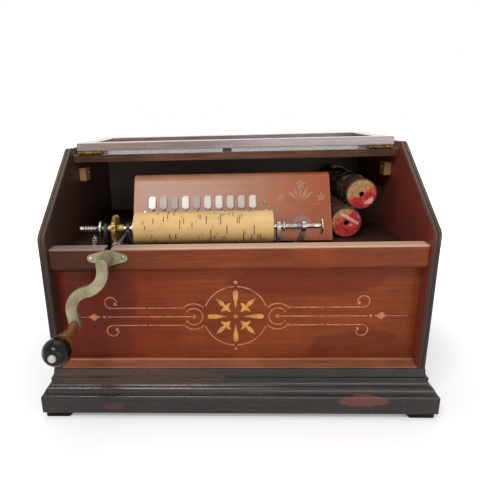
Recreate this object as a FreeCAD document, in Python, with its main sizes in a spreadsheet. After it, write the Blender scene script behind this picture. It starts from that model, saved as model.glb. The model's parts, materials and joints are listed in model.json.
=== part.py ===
import FreeCAD, Part
import math
import os
import types

import Sketcher

# Roller organ: a hand-cranked reed organ that plays a pinned wooden cob under a sloping glass lid.
# +X is to the player's right, +Y runs from the front to the back and +Z is up.
# The origin is on the table under the middle of the whole object, crank handle included.

Vector = FreeCAD.Vector
doc = FreeCAD.newDocument("RollerOrgan")
sheet = doc.addObject("Spreadsheet::Sheet", "Sizes")

SIZES = {
    # Case: side panels on a stepped plinth
    "case_width": 452.3,
    "case_depth": 325.0,
    "side_thickness": 9.0,
    "side_front_height": 168.2,
    "side_height": 257.8,
    "slope_depth": 127.4,
    "side_turn_radius": 11.0,
    "side_peak_radius": 10.0,
    "panel_thickness": 9.0,
    "panel_setback": 18.7,
    "back_thickness": 9.0,
    "floor_thickness": 9.0,
    # Plinth moulding, from the table up
    "foot_height": 8.0,
    "foot_length": 37.0,
    "foot_inset": 3.0,
    "base_overhang": 15.4,
    "base_width_of_wood": 37.0,
    "plinth_height": 24.0,
    "plinth_round": 3.2,
    "quirk": 1.2,
    "quirk_step": 1.0,
    "ovolo_step": 0.8,
    "ovolo_height": 7.4,
    "ovolo_reach": 4.2,
    "cove_height": 6.0,
    "cove_reach": 2.2,
    "fascia_height": 4.0,
    "band_height": 10.4,
    "band_reach": 2.6,
    # Front rail, sill and top board
    "rail_setback": 4.4,
    "rail_height": 23.8,
    "rail_thickness": 19.0,
    "rail_rise": 129.0,
    "rail_round": 4.0,
    "rail_rebate": 6.0,
    "rail_bead_drop": 8.0,
    "rail_bead_setback": 2.6,
    "rail_bead_fillet": 2.5,
    "rail_slot_width": 7.0,
    "sill_height": 5.4,
    "sill_lip": 1.4,
    "sill_bead": 3.4,
    "sill_setback": 1.0,
    "top_thickness": 10.9,
    "top_drop": 7.9,
    "top_undercut": 6.8,
    "block_width": 9.3,
    "block_depth": 20.0,
    "block_height": 18.0,
    "block_rise": 211.7,
    "block_setback": 150.0,
    # Lid, glazed, folded back on the top board
    "lid_side_gap": 7.15,
    "lid_length": 150.0,
    "lid_thickness": 10.5,
    "lid_lift": 4.6,
    "lid_border": 20.0,
    "glass_thickness": 2.5,
    "glass_depth": 1.5,
    "glass_grip": 4.0,
    "groove_fit": 0.05,
    "hinge_length": 30.0,
    "hinge_inset": 3.0,
    "leaf_depth": 13.4,
    "leaf_thickness": 1.2,
    "knuckle_radius": 2.6,
    "knuckle_length": 9.4,
    "leaf_edge_gap": 0.2,
    "hinge_pin_radius": 1.0,
    "hinge_pin_fit": 0.06,
    "lid_edge_gap": 0.1,
    "bumper_length": 12.0,
    "bumper_depth": 5.0,
    "bumper_side": 8.0,
    "bumper_setback": 6.0,
    # Action shelf and the cob above it
    "shelf_thickness": 12.0,
    "shelf_rise": 136.5,
    "cob_rise": 28.2,
    "cob_setback": 55.0,
    "cob_left": -122.7,
    "cob_length": 169.0,
    "cob_radius": 19.9,
    "pin_height": 0.6,
    "pin_radius": 0.45,
    "pin_root": 1.5,
    "end_play": 0.3,
    "cob_bore_depth": 12.0,
    "spindle_radius": 3.0,
    "running_gap": 0.05,
    # Worm drive from the crank shaft
    "crank_x": -147.5,
    "wheel_offset": 22.0,
    "wheel_width": 4.2,
    "wheel_pitch_radius": 16.0,
    "wheel_root_radius": 15.2,
    "wheel_tip_radius": 16.7,
    "wheel_hub_radius": 5.2,
    "wheel_hub_left": 8.0,
    "wheel_hub_right": 10.0,
    "tooth_tip_width": 0.8,
    "tooth_root_width": 1.5,
    "worm_core_radius": 4.9,
    "worm_tip_radius": 6.4,
    "worm_length": 24.0,
    "thread_root_width": 1.6,
    "thread_tip_width": 0.8,
    "shaft_radius": 3.2,
    "shaft_front": 24.0,
    "shaft_back": 240.0,
    "bearing_width": 20.0,
    "bearing_depth": 12.0,
    "bearing_gap": 2.0,
    "bearing_cap": 9.0,
    # Crank and handle
    "plate_thickness": 2.6,
    "plate_half_width": 23.5,
    "plate_end_radius": 4.5,
    "plate_middle_radius": 9.5,
    "boss_radius": 6.5,
    "boss_reach": 10.4,
    "hub_radius": 6.6,
    "hub_length": 17.6,
    "hub_cap": 2.5,
    "arm_width": 12.6,
    "arm_thickness": 7.0,
    "arm_neck": 6.0,
    "arm_tail": 16.0,
    "arm_kick": 2.0,
    "handle_side": 37.5,
    "handle_drop": 73.2,
    "handle_pin_radius": 3.0,
    "arm_end_radius": 6.5,
    "grip_gap": 3.0,
    "grip_length": 43.0,
    "grip_radius": 5.2,
    "grip_tip_length": 8.0,
    "grip_tip_slope": 2.2,
    "grip_bell_length": 10.0,
    "grip_bell_flare": 1.2,
    "grip_flare_radius": 12.0,
    "ball_radius": 15.0,
    "ball_length": 26.0,
    "rivet_radius": 4.4,
    "rivet_height": 3.5,
    # Brackets that carry the cob
    "post_thickness": 4.0,
    "post_width": 14.0,
    "post_head": 7.0,
    "outer_post_reach": 14.0,
    "inner_post_reach": 13.6,
    "bracket_left_reach": 19.5,
    "bracket_right_reach": 21.5,
    "bracket_front": 38.0,
    "bracket_back": 78.0,
    "bracket_foot": 2.4,
    "bracket_gap_width": 17.0,
    "bracket_web": 6.0,
    "bracket_screw_inset": 5.0,
    "spindle_reach": 44.5,
    "spring_seat_reach": 41.5,
    "spring_end_reach": 25.1,
    "spindle_end_radius": 3.4,
    "spring_spindle_radius": 2.2,
    "spring_radius": 3.6,
    "spring_wire": 0.9,
    "cam_reach": 19.1,
    "cam_radius": 10.0,
    "cam_thickness": 2.0,
    "drive_collar_gap": 0.2,
    "drive_collar_width": 3.0,
    "drive_collar_radius": 9.0,
    "near_ear_gap": 5.4,
    "ear_spacing": 30.5,
    "ear_radius": 7.0,
    "tail_arm_width": 8.0,
    "tail_arm_drop": 5.0,
    "tail_arm_inset": 12.0,
    "tail_arm_front_radius": 24.0,
    "tail_arm_back_radius": 34.0,
    "tail_foot_overhang": 3.7,
    "tail_foot_length": 30.0,
    "tail_foot_width": 20.0,
    "tail_screw_inset": 17.0,
    "tail_screw_side": 6.6,
    "tail_collar_gap": 3.3,
    "tail_collar_width": 2.0,
    "tail_collar_radius": 6.5,
    "tail_spring_radius": 4.8,
    "tail_spring_fit": 0.2,
    "knob_gap": 17.3,
    "knob_radius": 10.2,
    "knob_thickness": 3.2,
    "knob_neck_radius": 4.6,
    "knob_flare": 1.4,
    "knob_edge": 0.5,
    "knob_dish": 1.0,
    "knob_dish_radius": 4.0,
    # Note board, its chest and its keys
    "cover_left_reach": 10.8,
    "cover_setback": 80.0,
    "cover_lean_angle": 28.4,
    "cover_foot_gap": 0.3,
    "cover_flat": 84.6,
    "cover_thickness": 5.0,
    "cover_bend": 13.0,
    "cover_bend_angle": 80.0,
    "chest_height": 72.0,
    "chest_depth": 22.0,
    "chest_wall": 6.0,
    "chest_inset": 4.0,
    "note_left_margin": 14.7,
    "note_right_margin": 13.7,
    "key_width": 3.0,
    "key_axis_out": 4.0,
    "key_axis_up": 39.0,
    "rear_axis_up": 10.5,
    "key_plate_width": 10.0,
    "key_plate_height": 18.0,
    "key_plate_thickness": 1.2,
    "key_plate_corner": 2.6,
    "key_plate_rise": 5.5,
    "key_seat": 0.3,
    "rear_plate_width": 9.0,
    "finger_out": 4.4,
    "finger_thickness": 1.5,
    "finger_length": 28.4,
    "nib_gap": 0.4,
    "nib_height": 1.8,
    "key_arm_height": 3.0,
    "key_rib_gap": 1.0,
    "wire_radius": 0.75,
    "wire_fit": 0.1,
    "wire_overhang": 9.0,
    "wire_foot_width": 2.0,
    "wire_foot_height": 4.0,
    "wire_foot_reach": 1.6,
    "key_boss_radius": 2.0,
    "port_width": 5.0,
    "port_height": 12.0,
    "front_port_rise": 2.0,
    "rear_port_rise": 1.0,
    "reed_width": 9.0,
    "reed_length": 24.0,
    "reed_thickness": 1.6,
    # Bellows under the shelf
    "disc_radius": 14.0,
    "disc_width": 5.0,
    "throw_bay_gap": 6.0,
    "throw_radius": 9.0,
    "throw_pin_radius": 2.5,
    "throw_pin_end": 1.5,
    "rod_side_gap": 0.7,
    "rod_eye_radius": 6.0,
    "rod_thickness": 6.0,
    "rod_width": 8.0,
    "rod_length": 30.0,
    "feeder_hinge_x": 20.0,
    "feeder_hinge_drop": 3.5,
    "feeder_left": 205.0,
    "feeder_front": 150.0,
    "feeder_back": 231.0,
    "feeder_tilt": 8.0,
    "lug_gap": 1.5,
    "lug_thickness": 6.0,
    "lug_radius": 6.0,
    "feeder_notch": 16.7,
    "bellows_board": 8.0,
    "cloth_inset": 5.0,
    "cloth_hinge_gap": 2.0,
    "reservoir_width": 380.0,
    "reservoir_front": 40.0,
    "reservoir_back": 140.0,
    "reservoir_tilt": 4.0,
    "reservoir_gap": 3.0,
    # Spare cobs in the right-hand well
    "spare_x": 147.8,
    "spare_setback": 101.0,
    "spare_upper_setback": 112.0,
    "spare_radius": 20.4,
    "spare_gap": 0.4,
    "spare_angle": 60.2,
    "rest_first": 180.0,
    "rest_spacing": 60.0,
    "rest_thickness": 8.0,
    "rest_wrap_angle": 80.0,
    "spare_fit": 0.1,
    # Screws
    "screw_head_radius": 2.7,
    "screw_head_height": 1.3,
    "screw_radius": 1.3,
    "screw_length": 9.0,
    "screw_fit": 0.1,
    "screw_dome": 1.0,
    "screw_edge": 0.4,
    "screw_point": 2.0,
    "screw_slot_depth": 0.6,
    "screw_slot_width": 0.7,
}

for row, (alias, number) in enumerate(SIZES.items(), start=1):
    sheet.set(f"A{row}", alias)
    sheet.set(f"B{row}", str(number))
    sheet.setAlias(f"B{row}", alias)
doc.recompute()

NOTES = 20
FRONT_KEYS = NOTES // 2
PINS_IN_A_RING = 7
WHEEL_TEETH = 32
THREAD_TURNS = 6
SPRING_TURNS = 7


class Size:
    """A length or angle that knows its number and the sheet formula that gives it."""

    def __init__(self, number, formula):
        self.number = float(number)
        self.formula = formula

    def __add__(self, other):
        other = sized(other)
        return Size(self.number + other.number, f"({self.formula} + {other.formula})")

    def __sub__(self, other):
        other = sized(other)
        return Size(self.number - other.number, f"({self.formula} - {other.formula})")

    def __mul__(self, other):
        other = sized(other)
        return Size(self.number * other.number, f"({self.formula} * {other.formula})")

    def __truediv__(self, other):
        other = sized(other)
        return Size(self.number / other.number, f"({self.formula} / {other.formula})")

    def __neg__(self):
        return Size(-self.number, f"(0 - {self.formula})")

    def __radd__(self, other):
        return sized(other) + self

    def __rsub__(self, other):
        return sized(other) - self

    def __rmul__(self, other):
        return sized(other) * self


def sized(value):
    return value if isinstance(value, Size) else Size(value, f"({float(value):.9f})")


def root(value):
    return Size(math.sqrt(value.number), f"sqrt({value.formula})")


def sine(angle):
    return Size(math.sin(math.radians(angle.number)), f"sin({angle.formula} * 1 deg)")


def cosine(angle):
    return Size(math.cos(math.radians(angle.number)), f"cos({angle.formula} * 1 deg)")


d = types.SimpleNamespace(
    **{alias: Size(number, f"Sizes.{alias}") for alias, number in SIZES.items()}
)

AXES = {"X": Vector(1, 0, 0), "Y": Vector(0, 1, 0), "Z": Vector(0, 0, 1)}
TURNS = {"X": (Vector(0, 1, 0), 90), "Y": (Vector(1, 0, 0), -90), "Z": (Vector(0, 0, 1), 0)}


def bind(piece, name, value):
    piece.setExpression(name, sized(value).formula)


def place(piece, x=0, y=0, z=0, about=None, angle=0):
    """Move a piece, and turn it about an axis letter through its own origin."""
    if about:
        piece.Placement = FreeCAD.Placement(
            Vector(), FreeCAD.Rotation(AXES[about], sized(angle).number)
        )
        bind(piece, "Placement.Rotation.Angle", angle)
    for letter, value in zip("xyz", (x, y, z)):
        bind(piece, f"Placement.Base.{letter}", value)
    return piece


def box(x, y, z, label="Block"):
    """A block between two X, two Y and two Z values."""
    piece = doc.addObject("Part::Box", label)
    for side, (low, high) in zip(("Length", "Width", "Height"), (x, y, z)):
        bind(piece, side, sized(high) - low)
    return place(piece, x[0], y[0], z[0])


def rod(axis, start, length, radius, label="Rod"):
    """A round bar along an axis from the middle of its first end."""
    piece = doc.addObject("Part::Cylinder", label)
    bind(piece, "Radius", radius)
    bind(piece, "Height", length)
    turn_axis, angle = TURNS[axis]
    piece.Placement = FreeCAD.Placement(Vector(), FreeCAD.Rotation(turn_axis, angle))
    for letter, value in zip("xyz", start):
        bind(piece, f"Placement.Base.{letter}", value)
    return piece


def boolean(kind, label, base, tools):
    piece = doc.addObject(kind, label)
    piece.Base = base
    piece.Tool = tools[0] if len(tools) == 1 else fuse("Tools", *tools)
    return piece


def cut(label, base, *tools):
    return boolean("Part::Cut", label, base, tools)


def common(label, base, *tools):
    return boolean("Part::Common", label, base, tools)


def fuse(label, *pieces):
    piece = doc.addObject("Part::MultiFuse", label)
    piece.Shapes = list(pieces)
    return piece


def group(label, *pieces):
    """Separate solids that share one node, such as a set of screws."""
    piece = doc.addObject("Part::Compound", label)
    piece.Links = list(pieces)
    return piece


def draw(sketch, outline):
    """Draw a closed outline of (u, v) points; a third value makes an arc to the next point.

    The arc's radius is positive where it turns left on its way and negative where it turns right.
    """
    count = len(outline)
    places = [(sized(point[0]), sized(point[1])) for point in outline]
    ends = []
    for index, point in enumerate(outline):
        first = Vector(places[index][0].number, places[index][1].number, 0)
        following = places[(index + 1) % count]
        last = Vector(following[0].number, following[1].number, 0)
        if len(point) == 2:
            sketch.addGeometry(Part.LineSegment(first, last), False)
            ends.append((1, 2))
            continue
        radius = sized(point[2]).number
        chord = last - first
        sagitta_side = Vector(-chord.y, chord.x, 0).normalize()
        rise = math.sqrt(max(radius**2 - chord.Length**2 / 4, 0))
        middle = (first + last) * 0.5 + sagitta_side * (rise if radius > 0 else -rise)
        start, stop = (first, last) if radius > 0 else (last, first)
        start_angle = math.atan2(start.y - middle.y, start.x - middle.x)
        stop_angle = math.atan2(stop.y - middle.y, stop.x - middle.x)
        if stop_angle < start_angle:
            stop_angle += 2 * math.pi
        circle = Part.Circle(middle, Vector(0, 0, 1), abs(radius))
        sketch.addGeometry(Part.ArcOfCircle(circle, start_angle, stop_angle), False)
        ends.append((1, 2) if radius > 0 else (2, 1))
    for index in range(count):
        following = (index + 1) % count
        sketch.addConstraint(
            Sketcher.Constraint("Coincident", index, ends[index][1], following, ends[following][0])
        )
    for index, point in enumerate(outline):
        for kind, value in zip(("DistanceX", "DistanceY"), places[index]):
            number = sketch.addConstraint(
                Sketcher.Constraint(kind, -1, 1, index, ends[index][0], value.number)
            )
            sketch.setExpression(f"Constraints[{number}]", value.formula)
        if len(point) == 3:
            radius = sized(point[2])
            if radius.number < 0:
                radius = -radius
            number = sketch.addConstraint(Sketcher.Constraint("Radius", index, radius.number))
            sketch.setExpression(f"Constraints[{number}]", radius.formula)


def sketch_in(body, plane, outline):
    sketch = body.newObject("Sketcher::SketchObject", "Outline")
    support = [part for part in body.Origin.OriginFeatures if part.Role == f"{plane}_Plane"]
    sketch.AttachmentSupport = [(support[0], "")]
    sketch.MapMode = "FlatFace"
    draw(sketch, outline)
    return sketch


def slab(label, plane, outline, start, thickness):
    """An outline on the XY, XZ or YZ plane, padded from `start` towards its third axis."""
    body = doc.addObject("PartDesign::Body", label)
    pad = body.newObject("PartDesign::Pad", "Pad")
    pad.Profile = sketch_in(body, plane, outline)
    bind(pad, "Length", thickness)
    pad.Reversed = plane == "XZ"
    letter = {"XY": "z", "XZ": "y", "YZ": "x"}[plane]
    bind(body, f"Placement.Base.{letter}", start)
    return body


def turned(label, outline, x, y, z, axis):
    """A turned piece: an outline of (along, out) points spun about an axis."""
    body = doc.addObject("PartDesign::Body", label)
    spin = body.newObject("PartDesign::Revolution", "Spin")
    sketch = sketch_in(body, "XY", outline)
    spin.Profile = sketch
    spin.ReferenceAxis = (sketch, ["H_Axis"])
    spin.Angle = 360
    about, angle = {"X": ("X", 0), "Y": ("Z", 90), "Z": ("Y", -90)}[axis]
    return place(body, x, y, z, about, angle)


# Heights and faces that many pieces share
handle_tip = d.shaft_front + d.grip_gap + d.grip_length + d.ball_length + d.rivet_height
front = (handle_tip - d.case_depth - d.base_overhang) / 2
back = front + d.case_depth
half_width = d.case_width / 2
inner_x = half_width - d.side_thickness
base_half = half_width + d.base_overhang
plinth_top = d.foot_height + d.plinth_height
ovolo_bottom = plinth_top + d.quirk
cove_bottom = ovolo_bottom + d.ovolo_height
fascia_bottom = cove_bottom + d.cove_height
band_bottom = fascia_bottom + d.fascia_height
base_top = band_bottom + d.band_height
side_top = base_top + d.side_height
top_upper = side_top - d.top_drop
top_lower = top_upper - d.top_thickness
rail_lower = base_top + d.rail_rise
rail_upper = rail_lower + d.rail_height
shelf_upper = base_top + d.shelf_rise
shelf_lower = shelf_upper - d.shelf_thickness
cob_y = front + d.cob_setback
cob_z = shelf_upper + d.cob_rise
cob_right = d.cob_left + d.cob_length
shaft_z = cob_z - d.wheel_offset
bore_radius = d.spindle_radius + d.running_gap
shaft_bore = d.shaft_radius + d.running_gap


def moulding(label, length, x, y, angle):
    """One side of the plinth: a stepped moulding, mitred at both ends."""
    quirk_in = d.plinth_round + d.quirk_step
    cove_in = quirk_in + d.ovolo_reach + d.ovolo_step
    fascia_in = cove_in + d.cove_reach
    band_in = fascia_in + d.band_reach
    depth = d.base_width_of_wood
    section = [
        (0, d.foot_height),
        (0, plinth_top - d.plinth_round, -d.plinth_round),
        (d.plinth_round, plinth_top),
        (quirk_in, plinth_top),
        (quirk_in, ovolo_bottom, -(d.ovolo_height + d.ovolo_step)),
        (quirk_in + d.ovolo_reach, cove_bottom),
        (cove_in, cove_bottom, d.cove_height),
        (fascia_in, fascia_bottom),
        (fascia_in, band_bottom),
        (band_in, band_bottom),
        (band_in + d.quirk_step, base_top),
        (depth, base_top),
        (depth, d.foot_height),
    ]
    strip = slab("Strip", "YZ", section, -length / 2, length)
    mitre = [
        (-length / 2, 0),
        (length / 2, 0),
        (length / 2 - depth, depth),
        (depth - length / 2, depth),
    ]
    keep = slab("Mitre", "XY", mitre, 0, base_top + 1)
    return place(common(label, strip, keep), x, y, 0, "Z", angle)


# The plinth is four mitred mouldings round a floor, on four corner blocks
base_width = base_half * 2
base_depth = d.case_depth + d.base_overhang * 2
moulding("base_front", base_width, 0, front - d.base_overhang, 0)
moulding("base_back", base_width, 0, back + d.base_overhang, 180)
middle_y = (front + back) / 2
group(
    "base_sides",
    moulding("LeftSide", base_depth, -base_half, middle_y, -90),
    moulding("RightSide", base_depth, base_half, middle_y, 90),
)
floor_half = base_half - d.base_width_of_wood
floor_y = (
    front - d.base_overhang + d.base_width_of_wood,
    back + d.base_overhang - d.base_width_of_wood,
)
box(
    (-floor_half, floor_half), floor_y, (base_top - d.floor_thickness, base_top), "bottom_board"
)


def corner_foot(side, y):
    outer = (base_half - d.foot_inset) * side
    outline = [
        (outer, 0),
        (outer, d.foot_height),
        (outer - d.foot_length * side, d.foot_height),
        (outer - (d.foot_length - d.foot_height) * side, 0),
    ]
    return slab("Foot", "XZ", outline, y, d.foot_length)


feet_y = (
    front - d.base_overhang + d.foot_inset,
    back + d.base_overhang - d.foot_inset - d.foot_length,
)
group("corner_feet", *[corner_foot(side, y) for side in (-1, 1) for y in feet_y])

# The case: side panels with a sloping front edge, framed by a panel, a rail and boards
slope_foot = base_top + d.side_front_height
slope_rise = side_top - slope_foot
slope_length = root(d.slope_depth * d.slope_depth + slope_rise * slope_rise)
slope_sin = d.slope_depth / slope_length
slope_cos = slope_rise / slope_length
turn_reach = d.side_turn_radius * (1 - slope_cos) / slope_sin
peak_reach = d.side_peak_radius * (1 - slope_sin) / slope_cos
side_outline = [
    (front, base_top),
    (back, base_top),
    (back, side_top),
    (front + d.slope_depth + peak_reach, side_top, d.side_peak_radius),
    (front + d.slope_depth - peak_reach * slope_sin, side_top - peak_reach * slope_cos),
    (front + turn_reach * slope_sin, slope_foot + turn_reach * slope_cos, d.side_turn_radius),
    (front, slope_foot - turn_reach),
]
slab("side_panel_left", "YZ", side_outline, -half_width, d.side_thickness)
slab("side_panel_right", "YZ", side_outline, inner_x, d.side_thickness)
panel_y = front + d.panel_setback
panel_back = panel_y + d.panel_thickness
inside = (-inner_x, inner_x)
box(inside, (panel_y, panel_back), (base_top, rail_lower + d.rail_rebate), "front_panel")
box(inside, (back - d.back_thickness, back), (base_top, top_lower), "back_panel")
rail_y = front + d.rail_setback
rail_back = rail_y + d.rail_thickness
bead_y = rail_y + d.rail_bead_setback
rail_outline = [
    (rail_y, rail_lower),
    (bead_y, rail_lower),
    (bead_y, rail_lower - d.rail_bead_fillet),
    (panel_y, rail_lower - d.rail_bead_drop),
    (panel_y, rail_lower + d.rail_rebate),
    (rail_back, rail_lower + d.rail_rebate),
    (rail_back, rail_upper),
    (rail_y + d.rail_round, rail_upper, d.rail_round),
    (rail_y, rail_upper - d.rail_round),
]
slot_half = d.rail_slot_width / 2
slot_y = (rail_y - 1, rail_back + 1)
cut(
    "front_rail",
    slab("RailBlank", "YZ", rail_outline, -inner_x, inner_x * 2),
    box((d.crank_x - slot_half, d.crank_x + slot_half), slot_y, (shaft_z, rail_upper + 1)),
    rod("Y", (d.crank_x, slot_y[0], shaft_z), d.rail_thickness + 2, slot_half),
)
sill_y = front + d.sill_setback
sill_outline = [
    (sill_y, base_top),
    (panel_y, base_top),
    (panel_y, base_top + d.sill_height),
    (panel_y - d.sill_bead, base_top + d.sill_height),
    (panel_y - d.sill_bead - 1, base_top + d.sill_height - 1.6),
    (sill_y + 2, base_top + d.sill_lip),
    (sill_y, base_top + d.sill_lip),
]
slab("sill_moulding", "YZ", sill_outline, -inner_x, inner_x * 2)
top_y = front + d.slope_depth
top_outline = [
    (top_y + d.top_undercut, top_lower),
    (back, top_lower),
    (back, top_upper),
    (top_y, top_upper),
]
slab("top_board", "YZ", top_outline, -inner_x, inner_x * 2)
block_y = (front + d.block_setback, front + d.block_setback + d.block_depth)
block_z = (base_top + d.block_rise, base_top + d.block_rise + d.block_height)
group(
    "stop_blocks",
    box((-inner_x, d.block_width - inner_x), block_y, block_z),
    box((inner_x - d.block_width, inner_x), block_y, block_z),
)
shelf_y = (panel_back, back - d.back_thickness)
worm_bay = d.bracket_gap_width / 2
drive_y = front + d.shaft_back
throw_bay = d.disc_radius + d.throw_bay_gap
cut(
    "action_shelf",
    box(inside, shelf_y, (shelf_lower, shelf_upper)),
    box(
        (d.crank_x - worm_bay, d.crank_x + worm_bay),
        (front + d.bracket_front, front + d.bracket_back - d.bracket_web),
        (shelf_lower - 1, shelf_upper + 1),
    ),
    box(
        (d.crank_x - throw_bay, d.crank_x + throw_bay),
        (drive_y - d.disc_width - 1, drive_y + d.rod_thickness * 3),
        (shelf_lower - 1, shelf_upper + 1),
    ),
)

# The lid is a glazed frame, hinged along the front edge of the top board and folded right back
pin_y = top_y - d.knuckle_radius
pin_z = top_upper + d.lid_lift / 2
lid_y = pin_y + d.knuckle_radius + d.lid_edge_gap
lid_z = top_upper + d.lid_lift
lid_half = inner_x - d.lid_side_gap
lid_back = lid_y + d.lid_length
lid_span = (lid_z, lid_z + d.lid_thickness)
light_x = lid_half - d.lid_border
light_y = (lid_y + d.lid_border, lid_back - d.lid_border)
glass_z = lid_z + d.glass_depth
glass = (
    (-light_x - d.glass_grip, light_x + d.glass_grip),
    (light_y[0] - d.glass_grip, light_y[1] + d.glass_grip),
    (glass_z, glass_z + d.glass_thickness),
)
groove = (
    (glass[0][0] - d.groove_fit, glass[0][1] + d.groove_fit),
    (glass[1][0] - d.groove_fit, glass[1][1] + d.groove_fit),
    (glass[2][0] - d.groove_fit, glass[2][1] + d.groove_fit),
)
cut(
    "lid_frame",
    group(
        "Frame",
        box((-lid_half, lid_half), (lid_y, light_y[0]), lid_span),
        box((-lid_half, lid_half), (light_y[1], lid_back), lid_span),
        box((-lid_half, -light_x), light_y, lid_span),
        box((light_x, lid_half), light_y, lid_span),
    ),
    box(*groove),
)
box(*glass, "lid_glass")
bumper_x = -d.bumper_side
bumper_y = lid_y + d.bumper_setback
box(
    (bumper_x - d.bumper_length / 2, bumper_x + d.bumper_length / 2),
    (bumper_y - d.bumper_depth / 2, bumper_y + d.bumper_depth / 2),
    (top_upper, lid_z),
    "lid_bumper",
)


def hinge_x(side):
    """The low and high X of one hinge, and of its three knuckles."""
    outer = (lid_half - d.hinge_inset) * side
    low = outer if side < 0 else outer - d.hinge_length
    knuckle_gap = (d.hinge_length - d.knuckle_length * 3) / 2
    step = d.knuckle_length + knuckle_gap
    return low, [low + step * place_on for place_on in range(3)]


def leaf(side, knuckles, leaf_z):
    low, starts = hinge_x(side)
    plate_y = (lid_y + d.leaf_edge_gap, lid_y + d.leaf_depth)
    pieces = [box((low, low + d.hinge_length), plate_y, leaf_z)]
    for index in knuckles:
        span = (starts[index], starts[index] + d.knuckle_length)
        pieces.append(box(span, (pin_y, plate_y[0]), leaf_z))
        pieces.append(
            rod("X", (starts[index], pin_y, pin_z), d.knuckle_length, d.knuckle_radius)
        )
    return fuse("Leaf", *pieces)


def hinge_bore(side, radius):
    low, starts = hinge_x(side)
    return rod("X", (low - 1, pin_y, pin_z), d.hinge_length + 2, radius)


def hinge_pin(side):
    low, starts = hinge_x(side)
    return rod("X", (low, pin_y, pin_z), d.hinge_length, d.hinge_pin_radius)


case_leaf_z = (top_upper, top_upper + d.leaf_thickness)
lid_leaf_z = (lid_z - d.leaf_thickness, lid_z)
SIDES = (-1, 1)
group(
    "hinge_leaves_case",
    *[
        cut(
            "CaseLeaf",
            leaf(side, (0, 2), case_leaf_z),
            hinge_bore(side, d.hinge_pin_radius + d.hinge_pin_fit),
        )
        for side in SIDES
    ],
)
group(
    "hinge_leaves_lid",
    *[fuse("LidLeaf", leaf(side, (1,), lid_leaf_z), hinge_pin(side)) for side in SIDES],
)


def arc(first, corner, last):
    """The arc that leaves `first` towards `corner` and reaches `last` from it."""
    chord_middle = (first + last) * 0.5
    half_turn = (chord_middle - first).Length / (corner - first).Length
    crown = chord_middle + (corner - chord_middle) * (half_turn / (1 + half_turn))
    return Part.Arc(first, crown, last).toShape()


def biarc(first, first_way, last, last_way):
    """Two arcs in one smooth curve between two points, along the way given at each."""
    first_way = Vector(first_way).normalize()
    last_way = Vector(last_way).normalize()
    chord = last - first
    along = chord.dot(first_way + last_way)
    slack = 2 * (1 - first_way.dot(last_way))
    if slack < 1e-6:
        reach = chord.dot(chord) / (2 * along)
    else:
        reach = (math.sqrt(along**2 + slack * chord.dot(chord)) - along) / slack
    first_corner = first + first_way * reach
    last_corner = last - last_way * reach
    joint = (first_corner + last_corner) * 0.5
    return [arc(first, first_corner, joint), arc(joint, last_corner, last)]


def swept(edges, section, frenet=False):
    shell = Part.BRepOffsetAPI.MakePipeShell(Part.Wire(edges))
    if frenet:
        shell.setFrenetMode(True)
    shell.add(section)
    shell.build()
    shell.makeSolid()
    return shell.shape()


def solid_piece(label, shape):
    piece = doc.addObject("Part::Feature", label)
    piece.Shape = shape
    return piece


def coil(label, start_x, length, turns, radius, wire, y, z):
    """A helical spring along X, made of one arc pair for each quarter turn."""
    step = length.number / (4 * turns)
    points = []
    ways = []
    for quarter in range(4 * turns + 1):
        angle = quarter * math.pi / 2
        height = radius.number * math.cos(angle)
        out = radius.number * math.sin(angle)
        points.append(Vector(quarter * step, height, out))
        rise = step / (math.pi / 2)
        ways.append(Vector(rise, -out, height))
    edges = []
    for first, first_way, last, last_way in zip(points, ways, points[1:], ways[1:]):
        edges += biarc(first, first_way, last, last_way)
    ring = Part.Wire(Part.makeCircle(wire.number / 2, points[0], ways[0]))
    apart = min(
        (one - other).Length
        for index, one in enumerate(points)
        for other in points[index + 3 :]
    )
    print(f"{label}: least gap between turns {apart - wire.number:.2f} mm")
    piece = solid_piece(label, swept(edges, ring))
    return place(piece, start_x, y, z)


# The crank shaft runs over the shelf from the front rail to a block at the back
shaft_start = front - d.shaft_front
shaft_end = drive_y
throw_z = shaft_z - d.throw_radius
shaft_seat = shaft_start + d.hub_cap
fuse(
    "crank_shaft",
    rod("Y", (d.crank_x, shaft_seat, shaft_z), shaft_end - shaft_seat, d.shaft_radius),
    rod("Y", (d.crank_x, shaft_end - d.disc_width, shaft_z), d.disc_width, d.disc_radius),
    rod(
        "Y",
        (d.crank_x, shaft_end, throw_z),
        d.rod_thickness + d.throw_pin_end,
        d.throw_pin_radius,
    ),
)
bearing_y = drive_y - d.disc_width - d.bearing_gap - d.bearing_depth
cut(
    "rear_bearing",
    box(
        (d.crank_x - d.bearing_width / 2, d.crank_x + d.bearing_width / 2),
        (bearing_y, bearing_y + d.bearing_depth),
        (shelf_upper, shaft_z + d.bearing_cap),
    ),
    rod("Y", (d.crank_x, bearing_y - 1, shaft_z), d.bearing_depth + 2, shaft_bore),
)

plate_front = rail_y - d.plate_thickness
end_x = d.plate_half_width - d.plate_end_radius
flank_cos = (d.plate_middle_radius - d.plate_end_radius) / end_x
flank_sin = root(1 - flank_cos * flank_cos)
middle_u = d.plate_middle_radius * flank_cos
middle_v = d.plate_middle_radius * flank_sin
end_u = end_x + d.plate_end_radius * flank_cos
end_v = d.plate_end_radius * flank_sin
plate_outline = [
    (middle_u, middle_v),
    (end_u, end_v, -d.plate_end_radius),
    (end_u, -end_v),
    (middle_u, -middle_v, -d.plate_middle_radius),
    (-middle_u, -middle_v),
    (-end_u, -end_v, -d.plate_end_radius),
    (-end_u, end_v),
    (-middle_u, middle_v, -d.plate_middle_radius),
]
plate_blank = slab("PlateBlank", "XZ", plate_outline, plate_front, d.plate_thickness)
place(plate_blank, d.crank_x, plate_front, shaft_z)
screw_hole = d.screw_radius + d.screw_fit
boss_front = rail_y - d.boss_reach
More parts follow.
